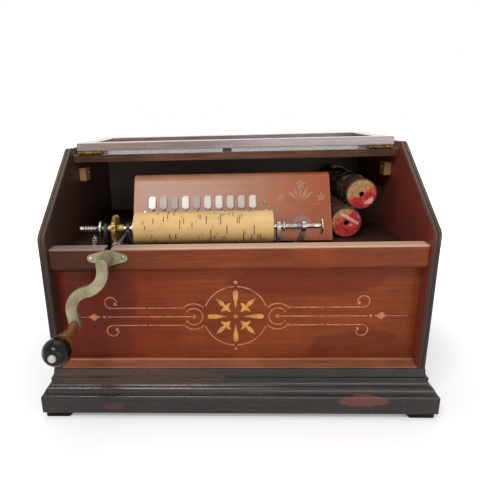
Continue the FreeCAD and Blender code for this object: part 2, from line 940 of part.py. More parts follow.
cut(
    "crank_escutcheon",
    fuse(
        "PlateAndBoss",
        plate_blank,
        rod("Y", (d.crank_x, boss_front, shaft_z), d.boss_reach, d.boss_radius),
    ),
    rod("Y", (d.crank_x, boss_front - 1, shaft_z), d.boss_reach + 2, shaft_bore),
    *[
        rod(
            "Y",
            (d.crank_x + end_x * side, plate_front - 1, shaft_z),
            d.plate_thickness + 2,
            screw_hole,
        )
        for side in SIDES
    ],
)

# The worm is one thread on the crank shaft, in mesh with the wheel above it
tooth_pitch = d.wheel_pitch_radius * (2 * math.pi / WHEEL_TEETH)
thread_start = cob_y - tooth_pitch * 3.25


def worm_thread():
    pitch = tooth_pitch.number
    core = d.worm_core_radius.number - 0.3
    tip = d.worm_tip_radius.number
    root_half = d.thread_root_width.number / 2
    tip_half = d.thread_tip_width.number / 2
    helix = Part.makeHelix(pitch, pitch * THREAD_TURNS, core)
    section = Part.makePolygon(
        [
            Vector(core, 0, -root_half),
            Vector(tip, 0, -tip_half),
            Vector(tip, 0, tip_half),
            Vector(core, 0, root_half),
            Vector(core, 0, -root_half),
        ]
    )
    return swept(helix.Edges, section, frenet=True)


thread = solid_piece("Thread", worm_thread())
place(thread, d.crank_x, thread_start, shaft_z, "X", -90)
worm_start = cob_y - d.worm_length / 2
cut(
    "worm",
    fuse(
        "WormBlank",
        rod("Y", (d.crank_x, worm_start, shaft_z), d.worm_length, d.worm_core_radius),
        thread,
    ),
    rod("Y", (d.crank_x, worm_start - 1, shaft_z), d.worm_length + 2, d.shaft_radius),
)


def toothed_disc():
    """The wheel's outline, with one tooth pointing straight down."""
    points = []
    for tooth in range(WHEEL_TEETH):
        middle = 2 * math.pi * tooth / WHEEL_TEETH
        for radius, width, side in (
            (d.wheel_root_radius, d.tooth_root_width, -1),
            (d.wheel_tip_radius, d.tooth_tip_width, -1),
            (d.wheel_tip_radius, d.tooth_tip_width, 1),
            (d.wheel_root_radius, d.tooth_root_width, 1),
        ):
            angle = middle + side * width.number / 2 / radius.number
            points.append(
                Vector(0, radius.number * math.sin(angle), -radius.number * math.cos(angle))
            )
    outline = Part.makePolygon(points + points[:1])
    return Part.Face(outline).extrude(Vector(d.wheel_width.number, 0, 0))


wheel_start = d.crank_x - d.wheel_width / 2
wheel_blank = solid_piece("WheelBlank", toothed_disc())
place(wheel_blank, wheel_start, cob_y, cob_z)
hub_start = d.crank_x - d.wheel_hub_left
hub_width = d.wheel_hub_left + d.wheel_hub_right
cut(
    "worm_wheel",
    fuse(
        "WheelAndHub",
        wheel_blank,
        rod("X", (hub_start, cob_y, cob_z), hub_width, d.wheel_hub_radius),
    ),
    rod("X", (hub_start - 1, cob_y, cob_z), hub_width + 2, d.spindle_radius),
)

# The crank arm is an S of two arcs between the hub and the handle pin
handle_x = d.crank_x - d.handle_side
handle_z = shaft_z - d.handle_drop


def arm_sweep():
    hub = Vector(d.crank_x.number, 0, shaft_z.number)
    end = Vector(handle_x.number, 0, handle_z.number)
    neck = hub - Vector(0, 0, d.arm_neck.number)
    tail = end + Vector(-d.arm_kick.number, 0, d.arm_tail.number)
    down = Vector(0, 0, -1)
    edges = [Part.LineSegment(hub, neck).toShape()]
    edges += biarc(neck, down, tail, end - tail)
    edges.append(Part.LineSegment(tail, end).toShape())
    half = d.arm_width.number / 2
    thick = d.arm_thickness.number
    section = Part.makePolygon(
        [
            hub + Vector(-half, 0, 0),
            hub + Vector(half, 0, 0),
            hub + Vector(half, thick, 0),
            hub + Vector(-half, thick, 0),
            hub + Vector(-half, 0, 0),
        ]
    )
    return swept(edges, section)


arm_bar = place(solid_piece("ArmBar", arm_sweep()), 0, shaft_start, 0)
pin_start = shaft_start - d.grip_gap - d.grip_length - d.ball_length
arm_plate = cut(
    "ArmPlate",
    fuse(
        "ArmBlank",
        arm_bar,
        rod("Y", (d.crank_x, shaft_start, shaft_z), d.hub_length, d.hub_radius),
        rod("Y", (handle_x, shaft_start, handle_z), d.arm_thickness, d.arm_end_radius),
    ),
    rod("Y", (d.crank_x, shaft_seat, shaft_z), d.hub_length, d.shaft_radius),
)
rivet = place(
    doc.addObject("Part::Sphere", "RivetHead"), handle_x, pin_start, handle_z
)
bind(rivet, "Radius", d.rivet_radius)
rivet_room = d.rivet_radius + 1
rivet_x = (handle_x - rivet_room, handle_x + rivet_room)
rivet_z = (handle_z - rivet_room, handle_z + rivet_room)
rivet_cut = box(rivet_x, (pin_start, pin_start + rivet_room), rivet_z)
rivet_end = box(rivet_x, (pin_start - rivet_room, pin_start - d.rivet_height), rivet_z)
fuse(
    "crank_arm",
    arm_plate,
    rod(
        "Y",
        (handle_x, pin_start, handle_z),
        shaft_start + d.arm_thickness - pin_start,
        d.handle_pin_radius,
    ),
    cut("Rivet", rivet, rivet_cut, rivet_end),
)
grip_end = shaft_start - d.grip_gap
handle_bore = d.handle_pin_radius + d.running_gap
grip_outline = [
    (0, handle_bore),
    (0, d.grip_flare_radius),
    (d.grip_tip_length, d.grip_flare_radius - d.grip_tip_slope),
    (d.grip_length - d.grip_bell_length, d.grip_radius),
    (d.grip_length, d.grip_radius + d.grip_bell_flare),
    (d.grip_length, handle_bore),
]
turned("handle_grip", grip_outline, handle_x, grip_end - d.grip_length, handle_z, "Y")
ball_start = grip_end - d.grip_length - d.ball_length
ball_middle = d.ball_length / 2
ball_reach = ball_middle - d.end_play
ball_front = root(d.ball_radius * d.ball_radius - ball_reach * ball_reach)
ball_back = root(d.ball_radius * d.ball_radius - ball_middle * ball_middle)
ball_outline = [
    (d.end_play, handle_bore),
    (d.end_play, ball_front, -d.ball_radius),
    (d.ball_length, ball_back),
    (d.ball_length, handle_bore),
]
turned("handle_ball", ball_outline, handle_x, ball_start, handle_z, "Y")

# The drive spindle carries the wheel, a cam disc and the cob's left end
collar_start = d.cob_left - d.drive_collar_gap - d.drive_collar_width
spindle_left = d.crank_x - d.spindle_reach
spring_seat_x = d.crank_x - d.spring_seat_reach
spring_end_x = d.crank_x - d.spring_end_reach
spindle_right = d.cob_left + d.cob_bore_depth - d.end_play
fuse(
    "drive_spindle",
    rod("X", (spring_end_x, cob_y, cob_z), spindle_right - spring_end_x, d.spindle_radius),
    rod(
        "X",
        (spindle_left, cob_y, cob_z),
        spring_end_x - spindle_left,
        d.spring_spindle_radius,
    ),
    rod(
        "X",
        (spindle_left, cob_y, cob_z),
        spring_seat_x - spindle_left,
        d.spindle_end_radius,
    ),
    rod("X", (d.crank_x - d.cam_reach, cob_y, cob_z), d.cam_thickness, d.cam_radius),
    rod("X", (collar_start, cob_y, cob_z), d.drive_collar_width, d.drive_collar_radius),
)
coil(
    "return_spring",
    spring_seat_x + d.spring_wire,
    spring_end_x - spring_seat_x - d.spring_wire * 2,
    SPRING_TURNS,
    d.spring_radius,
    d.spring_wire,
    cob_y,
    cob_z,
)
cut(
    "cob_body",
    rod("X", (d.cob_left, cob_y, cob_z), d.cob_length, d.cob_radius),
    rod("X", (d.cob_left - 1, cob_y, cob_z), d.cob_bore_depth + 1, bore_radius),
    rod("X", (cob_right - d.cob_bore_depth, cob_y, cob_z), d.cob_bore_depth + 1, bore_radius),
)


note_start = d.cob_left + d.note_left_margin
note_run = d.cob_length - d.note_left_margin - d.note_right_margin
note_pitch = note_run / (NOTES - 1)


def note_x(note):
    return note_start + note_pitch * note


def pin_rings():
    """Tune pins driven into the cob, ring by ring, with the gaps of a melody."""
    outer = d.cob_radius.number + d.pin_height.number
    inner = d.cob_radius.number - d.pin_root.number
    pins = []
    for note in range(NOTES):
        x = note_x(note).number
        for beat in range(PINS_IN_A_RING):
            angle = math.radians(137.5 * note + 51.4 * beat + 9 * ((note * beat) % 3))
            way = Vector(0, math.cos(angle), math.sin(angle))
            pins.append(
                Part.makeCylinder(
                    d.pin_radius.number, outer - inner, Vector(x, 0, 0) + way * inner, way
                )
            )
    return Part.makeCompound(pins)


place(solid_piece("cob_pins", pin_rings()), 0, cob_y, cob_z)

# Cast brackets on the shelf hold both spindles
foot_top = shelf_upper + d.bracket_foot


def post(x):
    half = d.post_width / 2
    return [
        box((x, x + d.post_thickness), (cob_y - half, cob_y + half), (shelf_upper, cob_z)),
        rod("X", (x, cob_y, cob_z), d.post_thickness, d.post_head),
    ]


outer_post_x = d.crank_x - d.outer_post_reach
inner_post_x = d.crank_x + d.inner_post_reach
bracket_left = d.crank_x - d.bracket_left_reach
bracket_right = d.crank_x + d.bracket_right_reach
bracket_screw_y = front + d.bracket_front + d.bracket_screw_inset
bracket_screws = [
    (bracket_left + d.bracket_screw_inset, bracket_screw_y),
    (bracket_right - d.bracket_screw_inset, bracket_screw_y),
]
near_ear_x = cob_right + d.near_ear_gap
far_ear_x = near_ear_x + d.ear_spacing
tail_foot_left = near_ear_x - d.tail_foot_overhang
tail_screw_x = tail_foot_left + d.tail_screw_inset
tail_screws = [(tail_screw_x, cob_y + d.tail_screw_side * side) for side in SIDES]


def foot_holes(screws):
    return [
        rod("Z", (x, y, shelf_upper - 1), d.bracket_foot + 2, screw_hole) for x, y in screws
    ]


cut(
    "drive_bracket",
    fuse(
        "BracketBlank",
        box(
            (bracket_left, bracket_right),
            (front + d.bracket_front, front + d.bracket_back),
            (shelf_upper, foot_top),
        ),
        *post(outer_post_x),
        *post(inner_post_x),
    ),
    box(
        (d.crank_x - worm_bay, d.crank_x + worm_bay),
        (front + d.bracket_front - 1, front + d.bracket_back - d.bracket_web),
        (shelf_upper - 1, foot_top + 1),
    ),
    rod(
        "X",
        (outer_post_x - 1, cob_y, cob_z),
        inner_post_x - outer_post_x + d.post_thickness + 2,
        bore_radius,
    ),
    *foot_holes(bracket_screws),
)
ear_low = cob_z - d.tail_arm_drop
far_ear_end = far_ear_x + d.post_thickness
tail_arm_left = tail_foot_left + d.tail_arm_inset
tail_foot_right = tail_foot_left + d.tail_foot_length
tail_foot_half = d.tail_foot_width / 2
tail_arm = [
    (tail_arm_left, foot_top, d.tail_arm_front_radius),
    (far_ear_x, ear_low),
    (far_ear_end, ear_low, -d.tail_arm_back_radius),
    (tail_foot_right, shelf_upper),
    (tail_arm_left, shelf_upper),
]
cut(
    "tail_bracket",
    fuse(
        "TailBlank",
        box(
            (tail_foot_left, tail_foot_right),
            (cob_y - tail_foot_half, cob_y + tail_foot_half),
            (shelf_upper, foot_top),
        ),
        *post(near_ear_x),
        slab("TailArm", "XZ", tail_arm, cob_y - d.tail_arm_width / 2, d.tail_arm_width),
        rod("X", (far_ear_x, cob_y, cob_z), d.post_thickness, d.ear_radius),
    ),
    rod("X", (near_ear_x - 1, cob_y, cob_z), far_ear_end - near_ear_x + 2, bore_radius),
    *foot_holes(tail_screws),
)

# The tail spindle is pulled to the right against its spring to free the cob
tail_start = cob_right - d.cob_bore_depth + d.end_play
knob_x = far_ear_end + d.knob_gap
tail_collar_x = near_ear_x + d.post_thickness + d.tail_collar_gap
tail_spring_start = tail_collar_x + d.tail_collar_width
fuse(
    "tail_spindle",
    rod("X", (tail_start, cob_y, cob_z), knob_x - tail_start, d.spindle_radius),
    rod("X", (tail_collar_x, cob_y, cob_z), d.tail_collar_width, d.tail_collar_radius),
)
coil(
    "tail_spring",
    tail_spring_start + d.spring_wire / 2 + d.tail_spring_fit,
    far_ear_x - tail_spring_start - d.spring_wire - d.tail_spring_fit * 2,
    SPRING_TURNS,
    d.tail_spring_radius,
    d.spring_wire,
    cob_y,
    cob_z,
)
knob_outline = [
    (0, 0),
    (0, d.knob_neck_radius),
    (d.knob_flare, d.knob_radius - d.knob_edge),
    (d.knob_flare + d.knob_edge, d.knob_radius),
    (d.knob_thickness - d.knob_edge, d.knob_radius),
    (d.knob_thickness, d.knob_radius - d.knob_edge),
    (d.knob_thickness - d.knob_dish, d.knob_dish_radius),
    (d.knob_thickness - d.knob_dish, 0),
]
turned("tail_knob", knob_outline, knob_x, cob_y, cob_z, "X")

# The note board leans back behind the cob, with a chest of reeds on its rear face
lean_sin = sine(d.cover_lean_angle)
lean_cos = cosine(d.cover_lean_angle)
cover_left = d.cob_left - d.cover_left_reach
cover_right = d.spare_x - d.spare_radius - d.spare_gap
cover_y = front + d.cover_setback
cover_z = shelf_upper + d.cover_thickness * lean_sin + d.cover_foot_gap


def on_cover(out, up):
    """Y and Z of a point in front of the note board and up along it."""
    out = sized(out)
    up = sized(up)
    return (
        cover_y - out * lean_cos + up * lean_sin,
        cover_z + out * lean_sin + up * lean_cos,
    )


def lean(piece, x, out, up):
    y, z = on_cover(out, up)
    return place(piece, x, y, z, "X", -d.cover_lean_angle)


bend_cos = cosine(d.cover_bend_angle)
bend_sin = sine(d.cover_bend_angle)
bend_inner = d.cover_bend - d.cover_thickness
cover_outline = [
    (0, 0),
    (0, d.cover_flat, -d.cover_bend),
    (d.cover_bend * (1 - bend_cos), d.cover_flat + d.cover_bend * bend_sin),
    (d.cover_bend - bend_inner * bend_cos, d.cover_flat + bend_inner * bend_sin, bend_inner),
    (d.cover_thickness, d.cover_flat),
    (d.cover_thickness, 0),
]
front_port_up = d.key_axis_up + d.key_plate_rise + d.front_port_rise
rear_port_up = d.rear_axis_up + d.key_plate_rise + d.rear_port_rise
ports = []
for note in range(NOTES):
    port_up = rear_port_up if note % 2 else front_port_up
    middle = note_x(note)
    ports.append(
        box(
            (middle - d.port_width / 2, middle + d.port_width / 2),
            (-1, d.cover_thickness + 1),
            (port_up, port_up + d.port_height),
        )
    )
cover_blank = slab("CoverBlank", "YZ", cover_outline, cover_left, cover_right - cover_left)
lean(cut("key_cover", cover_blank, *ports), 0, 0, 0)

chest_front = on_cover(-d.cover_thickness, 0)[0]
chest_top_y, chest_top_z = on_cover(-d.cover_thickness, d.chest_height)
chest_back = chest_top_y + d.chest_depth
wall = d.chest_wall
mouth_low = on_cover(-d.cover_thickness + 1, wall)
mouth_high = on_cover(-d.cover_thickness + 1, d.chest_height - wall)
chest_x = (cover_left + d.chest_inset, cover_right - d.chest_inset)
cut(
    "reed_chest",
    slab(
        "ChestBlank",
        "YZ",
        [
            (chest_front, shelf_upper),
            (chest_top_y, chest_top_z),
            (chest_back, chest_top_z),
            (chest_back, shelf_upper),
        ],
        chest_x[0],
        chest_x[1] - chest_x[0],
    ),
    slab(
        "ChestRoom",
        "YZ",
        [
            mouth_low,
            mouth_high,
            (chest_back - wall, mouth_high[1]),
            (chest_back - wall, mouth_low[1]),
        ],
        chest_x[0] + wall,
        chest_x[1] - chest_x[0] - wall * 2,
    ),
)
reeds = []
for note in range(NOTES):
    reed_up = rear_port_up if note % 2 else front_port_up
    reed_up = reed_up + (d.port_height - d.reed_length) / 2
    middle = note_x(note)
    reeds.append(
        box(
            (middle - d.reed_width / 2, middle + d.reed_width / 2),
            (d.cover_thickness, d.cover_thickness + d.reed_thickness),
            (reed_up, reed_up + d.reed_length),
        )
    )
lean(group("reeds", *reeds), 0, 0, 0)

cob_out = (d.cover_setback - d.cob_setback) * lean_cos + (cob_z - cover_z) * lean_sin
nib_out = cob_out - d.cob_radius - d.pin_height - d.nib_gap - d.key_axis_out
seat_y = d.key_axis_out - d.key_seat


def key_at(note, plate_width, plate_height, finger_length):
    """A pallet on a pivot, with a finger whose nib waits over the cob's pins."""
    half = d.key_width / 2
    plate_half = plate_width / 2
    corner = d.key_plate_corner
    low = d.key_plate_rise
    high = low + plate_height
    plate_outline = [
        (corner - plate_half, low),
        (plate_half - corner, low),
        (plate_half, low + corner),
        (plate_half, high - corner),
        (plate_half - corner, high),
        (corner - plate_half, high),
        (-plate_half, high - corner),
        (-plate_half, low + corner),
    ]
    plate_y = seat_y - d.key_plate_thickness
    nib_up = -finger_length
    nib_half = d.nib_height / 2
    arm_half = d.key_arm_height / 2
    finger_y = (-d.finger_out - d.finger_thickness, -d.finger_out)
    width = (-half, half)
    pieces = [
        rod("X", (-half, 0, 0), d.key_width, d.key_boss_radius),
        slab("Pallet", "XZ", plate_outline, plate_y, d.key_plate_thickness),
        box(width, (d.key_rib_gap, seat_y), (0, low + d.key_rib_gap)),
        box(width, (finger_y[0], 0), (-arm_half, arm_half)),
        box(width, (-nib_out, finger_y[1]), (nib_up - nib_half, nib_up + nib_half)),
        box(width, finger_y, (nib_up - nib_half, 0)),
    ]
    bore = rod("X", (-half - 1, 0, 0), d.key_width + 2, d.wire_radius + d.wire_fit)
    return cut("Key", fuse("KeyBlank", *pieces), bore)


for index in range(FRONT_KEYS):
    key = key_at(index, d.key_plate_width, d.key_plate_height, d.finger_length)
    key.Label = f"front_key_{index + 1:02d}"
    lean(key, note_x(2 * index), d.key_axis_out, d.key_axis_up)
rear = []
for index in range(FRONT_KEYS):
    key = key_at(index, d.rear_plate_width, d.key_plate_height - 2, sized(0))
    rear.append(lean(key, note_x(2 * index + 1), d.key_axis_out, d.rear_axis_up))
group("rear_keys", *rear)

wire_x = (note_x(0) - d.wire_overhang, note_x(NOTES - 1) + d.wire_overhang)
wire_foot_half = d.wire_foot_width / 2
wire_foot_rise = d.wire_foot_height / 2
wire_foot_out = -d.key_axis_out - d.wire_foot_reach
wires = []
for up in (d.key_axis_up, d.rear_axis_up):
    wires.append(
        rod("X", (wire_x[0], -d.key_axis_out, up), wire_x[1] - wire_x[0], d.wire_radius)
    )
    for x in wire_x:
        foot_x = (x - wire_foot_half, x + wire_foot_half)
        wires.append(box(foot_x, (wire_foot_out, 0), (up - wire_foot_rise, up + wire_foot_rise)))
wire_pairs = [fuse("Wire", *wires[:3]), fuse("Wire", *wires[3:])]
lean(group("key_pivot_wires", *wire_pairs), 0, 0, 0)

# The feeder hangs under the shelf and the reservoir lies on the floor board
rod_start = shaft_end + d.rod_side_gap
rod_foot_radius = d.rod_eye_radius - 1
rod_low = throw_z - d.rod_length
eye_bore = d.throw_pin_radius + d.running_gap
cut(
    "connecting_rod",
    fuse(
        "RodBlank",
        rod("Y", (d.crank_x, rod_start, throw_z), d.rod_thickness, d.rod_eye_radius),
        rod("Y", (d.crank_x, rod_start, rod_low), d.rod_thickness, rod_foot_radius),
        box(
            (d.crank_x - d.rod_width / 2, d.crank_x + d.rod_width / 2),
            (rod_start, rod_start + d.rod_thickness),
            (rod_low, throw_z),
        ),
    ),
    rod("Y", (d.crank_x, rod_start - 1, throw_z), d.rod_thickness + 2, eye_bore),
    rod("Y", (d.crank_x, rod_start - 1, rod_low), d.rod_thickness + 2, eye_bore),
)
tilt_sin = sine(d.feeder_tilt)
tilt_cos = cosine(d.feeder_tilt)
feeder_hinge_z = shelf_lower - d.feeder_hinge_drop
lug_run = d.feeder_hinge_x - d.crank_x
lug_drop = feeder_hinge_z - rod_low
lug_x = -lug_run * tilt_cos - lug_drop * tilt_sin
lug_z = lug_run * tilt_sin - lug_drop * tilt_cos
lug_start = rod_start + d.rod_thickness + d.lug_gap
lug_y = (lug_start, lug_start + d.lug_thickness)
board_z = (-d.bellows_board, 0)
feeder_y = (front + d.feeder_front, front + d.feeder_back)
feeder = cut(
    "feeder_board",
    fuse(
        "FeederBlank",
        box((-d.feeder_left, 0), feeder_y, board_z),
        box((-d.feeder_left, lug_x - d.feeder_notch), (feeder_y[1] - 1, lug_y[1]), board_z),
        box((-d.feeder_left, lug_x + d.lug_radius), lug_y, board_z),
        box(
            (lug_x - d.lug_radius, lug_x + d.lug_radius),
            lug_y,
            (-d.bellows_board, lug_z + d.lug_radius),
        ),
    ),
    rod("Y", (lug_x, lug_y[0] - 1, lug_z), d.lug_thickness + 2, eye_bore),
)
place(feeder, d.feeder_hinge_x, 0, feeder_hinge_z, "Y", -d.feeder_tilt)
feeder_slope = tilt_sin / tilt_cos
fold_right = d.feeder_hinge_x - d.cloth_hinge_gap
fold_left = d.feeder_hinge_x - d.feeder_left * tilt_cos + d.cloth_inset
slab(
    "feeder_cloth",
    "XZ",
    [
        (fold_right, shelf_lower),
        (fold_right, feeder_hinge_z - (d.feeder_hinge_x - fold_right) * feeder_slope),
        (fold_left, feeder_hinge_z - (d.feeder_hinge_x - fold_left) * feeder_slope),
        (fold_left, shelf_lower),
    ],
    front + d.feeder_front + d.cloth_inset,
    d.feeder_back - d.feeder_front - d.cloth_inset * 2,
)
reservoir_sin = sine(d.reservoir_tilt)
reservoir_cos = cosine(d.reservoir_tilt)
reservoir_slope = reservoir_sin / reservoir_cos
reservoir_hinge_x = d.reservoir_width / 2
reservoir_hinge_z = base_top + d.reservoir_gap
reservoir_left_x = reservoir_hinge_x - d.reservoir_width * reservoir_cos
reservoir_left_z = reservoir_hinge_z + d.reservoir_width * reservoir_sin
reservoir_y = front + d.reservoir_front
reservoir_board = box(
    (0, d.reservoir_width),
    (reservoir_y, front + d.reservoir_back),
    (0, d.bellows_board),
    "reservoir_board",
)
place(reservoir_board, reservoir_left_x, reservoir_y, reservoir_left_z, "Y", d.reservoir_tilt)
fold_left = reservoir_left_x + d.cloth_inset
fold_right = reservoir_hinge_x - d.cloth_hinge_gap
slab(
    "reservoir_cloth",
    "XZ",
    [
        (fold_left, base_top),
        (fold_right, base_top),
        (fold_right, reservoir_hinge_z + reservoir_slope * d.cloth_hinge_gap),
        (fold_left, reservoir_left_z - reservoir_slope * d.cloth_inset),
    ],
    reservoir_y + d.cloth_inset,
    d.reservoir_back - d.reservoir_front - d.cloth_inset * 2,
)

# Two spare cobs lie in the well on the right, the upper one held by a scalloped rest
spare_z = shelf_upper + d.spare_radius + d.spare_fit
upper_step = d.spare_radius * 2 + d.spare_gap
upper_x = d.spare_x + upper_step * cosine(d.spare_angle)
upper_z = spare_z + upper_step * sine(d.spare_angle)


def spare_cob(label, x, y, z):
    hole = d.spindle_radius + d.spare_fit
    return cut(
        label,
        rod("Y", (x, y, z), d.cob_length, d.spare_radius),
        rod("Y", (x, y - 1, z), d.cob_bore_depth + 1, hole),
        rod("Y", (x, y + d.cob_length - d.cob_bore_depth, z), d.cob_bore_depth + 1, hole),
    )


spare_cob("spare_cob_lower", d.spare_x, front + d.spare_setback, spare_z)
spare_cob("spare_cob_upper", upper_x, front + d.spare_upper_setback, upper_z)
scallop = d.spare_radius + d.spare_gap
rest_left = upper_x + scallop * cosine(d.rest_wrap_angle)
rest_outline = [
    (rest_left, shelf_upper),
    (inner_x, shelf_upper),
    (inner_x, upper_z),
    (upper_x + scallop, upper_z, -scallop),
    (rest_left, upper_z - scallop * sine(d.rest_wrap_angle)),
]
group(
    "cob_rest",
    *[
        slab("RestBoard", "XZ", rest_outline, front + d.rest_first + step, d.rest_thickness)
        for step in (0, d.rest_spacing)
    ],
)


def screw(x, y, z, about, angle):
    """A slotted wood screw whose head sits on the surface at the given point."""
    outline = [
        (-d.screw_head_height, 0),
        (-d.screw_head_height, d.screw_head_radius - d.screw_dome),
        (-d.screw_edge, d.screw_head_radius),
        (0, d.screw_head_radius),
        (0, d.screw_radius),
        (d.screw_length - d.screw_point, d.screw_radius),
        (d.screw_length, 0),
    ]
    slot = box(
        (-d.screw_head_height - 1, -d.screw_head_height + d.screw_slot_depth),
        (-d.screw_head_radius, d.screw_head_radius),
        (-d.screw_slot_width / 2, d.screw_slot_width / 2),
    )
    piece = cut("Screw", turned("ScrewBlank", outline, 0, 0, 0, "X"), slot)
    return place(piece, x, y, z, about, angle)


group(
    "wood_screws",
    *[screw(d.crank_x + end_x * side, plate_front, shaft_z, "Z", 90) for side in SIDES],
    *[screw(x, y, foot_top, "Y", 90) for x, y in bracket_screws + tail_screws],
)

# Check every piece and write one STEP file for each
doc.recompute()
for piece in doc.Objects:
    if "Invalid" in piece.State or "Error" in piece.State:
        raise RuntimeError(f"{piece.Label}: {piece.State}")
pieces = [
    piece for piece in doc.Objects if piece.isDerivedFrom("Part::Feature") and not piece.InList
]
os.makedirs("parts", exist_ok=True)
for piece in pieces:
    if piece.Shape.isNull() or not piece.Shape.isValid():
        raise RuntimeError(f"{piece.Label}: its shape is not valid")
    piece.Shape.exportStep(f"parts/{piece.Label}.step")
print(f"{len(pieces)} pieces written")
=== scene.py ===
import json
import math
import random

import bmesh
import bpy
from mathutils import Matrix, Vector

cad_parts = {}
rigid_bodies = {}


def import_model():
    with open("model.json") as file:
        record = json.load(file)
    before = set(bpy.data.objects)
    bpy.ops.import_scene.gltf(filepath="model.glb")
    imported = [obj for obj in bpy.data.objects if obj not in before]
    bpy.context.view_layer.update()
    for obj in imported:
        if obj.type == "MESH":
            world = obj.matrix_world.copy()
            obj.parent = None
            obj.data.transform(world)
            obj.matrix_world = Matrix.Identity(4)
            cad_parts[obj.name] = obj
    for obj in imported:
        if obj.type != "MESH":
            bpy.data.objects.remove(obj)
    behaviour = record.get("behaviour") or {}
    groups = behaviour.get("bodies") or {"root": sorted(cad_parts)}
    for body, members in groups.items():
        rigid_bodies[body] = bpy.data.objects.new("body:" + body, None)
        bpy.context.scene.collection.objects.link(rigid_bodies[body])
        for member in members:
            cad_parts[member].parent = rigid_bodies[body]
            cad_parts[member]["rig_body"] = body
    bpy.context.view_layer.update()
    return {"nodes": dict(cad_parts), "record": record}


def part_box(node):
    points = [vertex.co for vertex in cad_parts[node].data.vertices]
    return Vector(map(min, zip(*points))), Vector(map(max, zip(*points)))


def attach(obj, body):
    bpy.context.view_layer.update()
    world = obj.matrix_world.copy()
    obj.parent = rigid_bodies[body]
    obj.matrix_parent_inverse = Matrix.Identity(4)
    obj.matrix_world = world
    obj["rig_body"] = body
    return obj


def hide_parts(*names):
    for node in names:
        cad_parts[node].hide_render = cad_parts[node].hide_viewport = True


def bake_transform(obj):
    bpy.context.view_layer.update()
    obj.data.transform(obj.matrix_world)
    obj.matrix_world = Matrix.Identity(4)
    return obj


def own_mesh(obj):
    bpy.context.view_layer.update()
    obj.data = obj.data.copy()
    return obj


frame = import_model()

MM = 0.001
nodes = frame["nodes"]
SLOT_OF = {part["node"]: part["material_slot"] for part in frame["record"]["subparts"]}
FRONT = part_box("side_panel_left")[0].y


# The base is four mitred mouldings of softwood, stained black and rubbed brown where hands and
# cloths have been. Its flats are charcoal and satin, and one long flake of the black is gone.
def linear(code):
    """An sRGB hex colour as the linear colour that a shader takes."""
    channels = [int(code[place : place + 2], 16) / 255 for place in (1, 3, 5)]
    return [c / 12.92 if c <= 0.04045 else ((c + 0.055) / 1.055) ** 2.4 for c in channels] + [1]


def add(tree, kind, inputs=None, stops=None, **settings):
    """Add a shader node. An input is a value, a hex colour, a node, or a node and its output."""
    node = tree.nodes.new("ShaderNode" + kind)
    for name, value in settings.items():
        setattr(node, name, value)
    for key, value in (inputs or {}).items():
        sockets = [s for s in node.inputs if key in (s.identifier, s.name) and s.enabled]
        socket = node.inputs[key] if isinstance(key, int) else sockets[0]
        if isinstance(value, bpy.types.Node):
            value = (value, next(s.name for s in value.outputs if s.enabled))
        if isinstance(value, tuple) and isinstance(value[0], bpy.types.Node):
            source = next(s for s in value[0].outputs if s.name == value[1] and s.enabled)
            tree.links.new(source, socket)
        else:
            socket.default_value = linear(value) if isinstance(value, str) else value
    if stops:
        ramp = node.color_ramp
        while len(ramp.elements) < len(stops):
            ramp.elements.new(0.5)
        for element, (place, colour) in zip(ramp.elements, stops):
            element.position = place
            element.color = linear(colour)
    return node


def start_material(name, **sockets):
    """A new material, its tree and its shader, with the shader's own sockets set."""
    material = bpy.data.materials.new(name)
    material.use_nodes = True
    tree = material.node_tree
    shader = tree.nodes["Principled BSDF"]
    for key, value in sockets.items():
        shader.inputs[key.replace("_", " ")].default_value = value
    return material, tree, shader


def feed(tree, node, shader, socket):
    output = next(s for s in node.outputs if s.enabled)
    tree.links.new(output, shader.inputs[socket])


def span_mask(tree, coords, axis, low, high, mirrored=False):
    """0 below one place on an axis and 1 above another, in mm. mirrored counts both ways from 0."""
    spot = add(tree, "SeparateXYZ", {"Vector": (coords, "Object")})
    place = (spot, axis)
    if mirrored:
        place = add(tree, "Math", {0: place}, operation="ABSOLUTE")
    return add(
        tree,
        "MapRange",
        {"Value": place, "From Min": low * MM, "From Max": high * MM},
        interpolation_type="SMOOTHSTEP",
    )


def before(tree, coords, under, axis, low, high, colour):
    """One colour before a place on an axis, in mm, and what lies under it past that place."""
    past = span_mask(tree, coords, axis, low, high)
    return add(tree, "Mix", {"Factor_Float": past, "A_Color": colour, "B_Color": under}, data_type="RGBA")


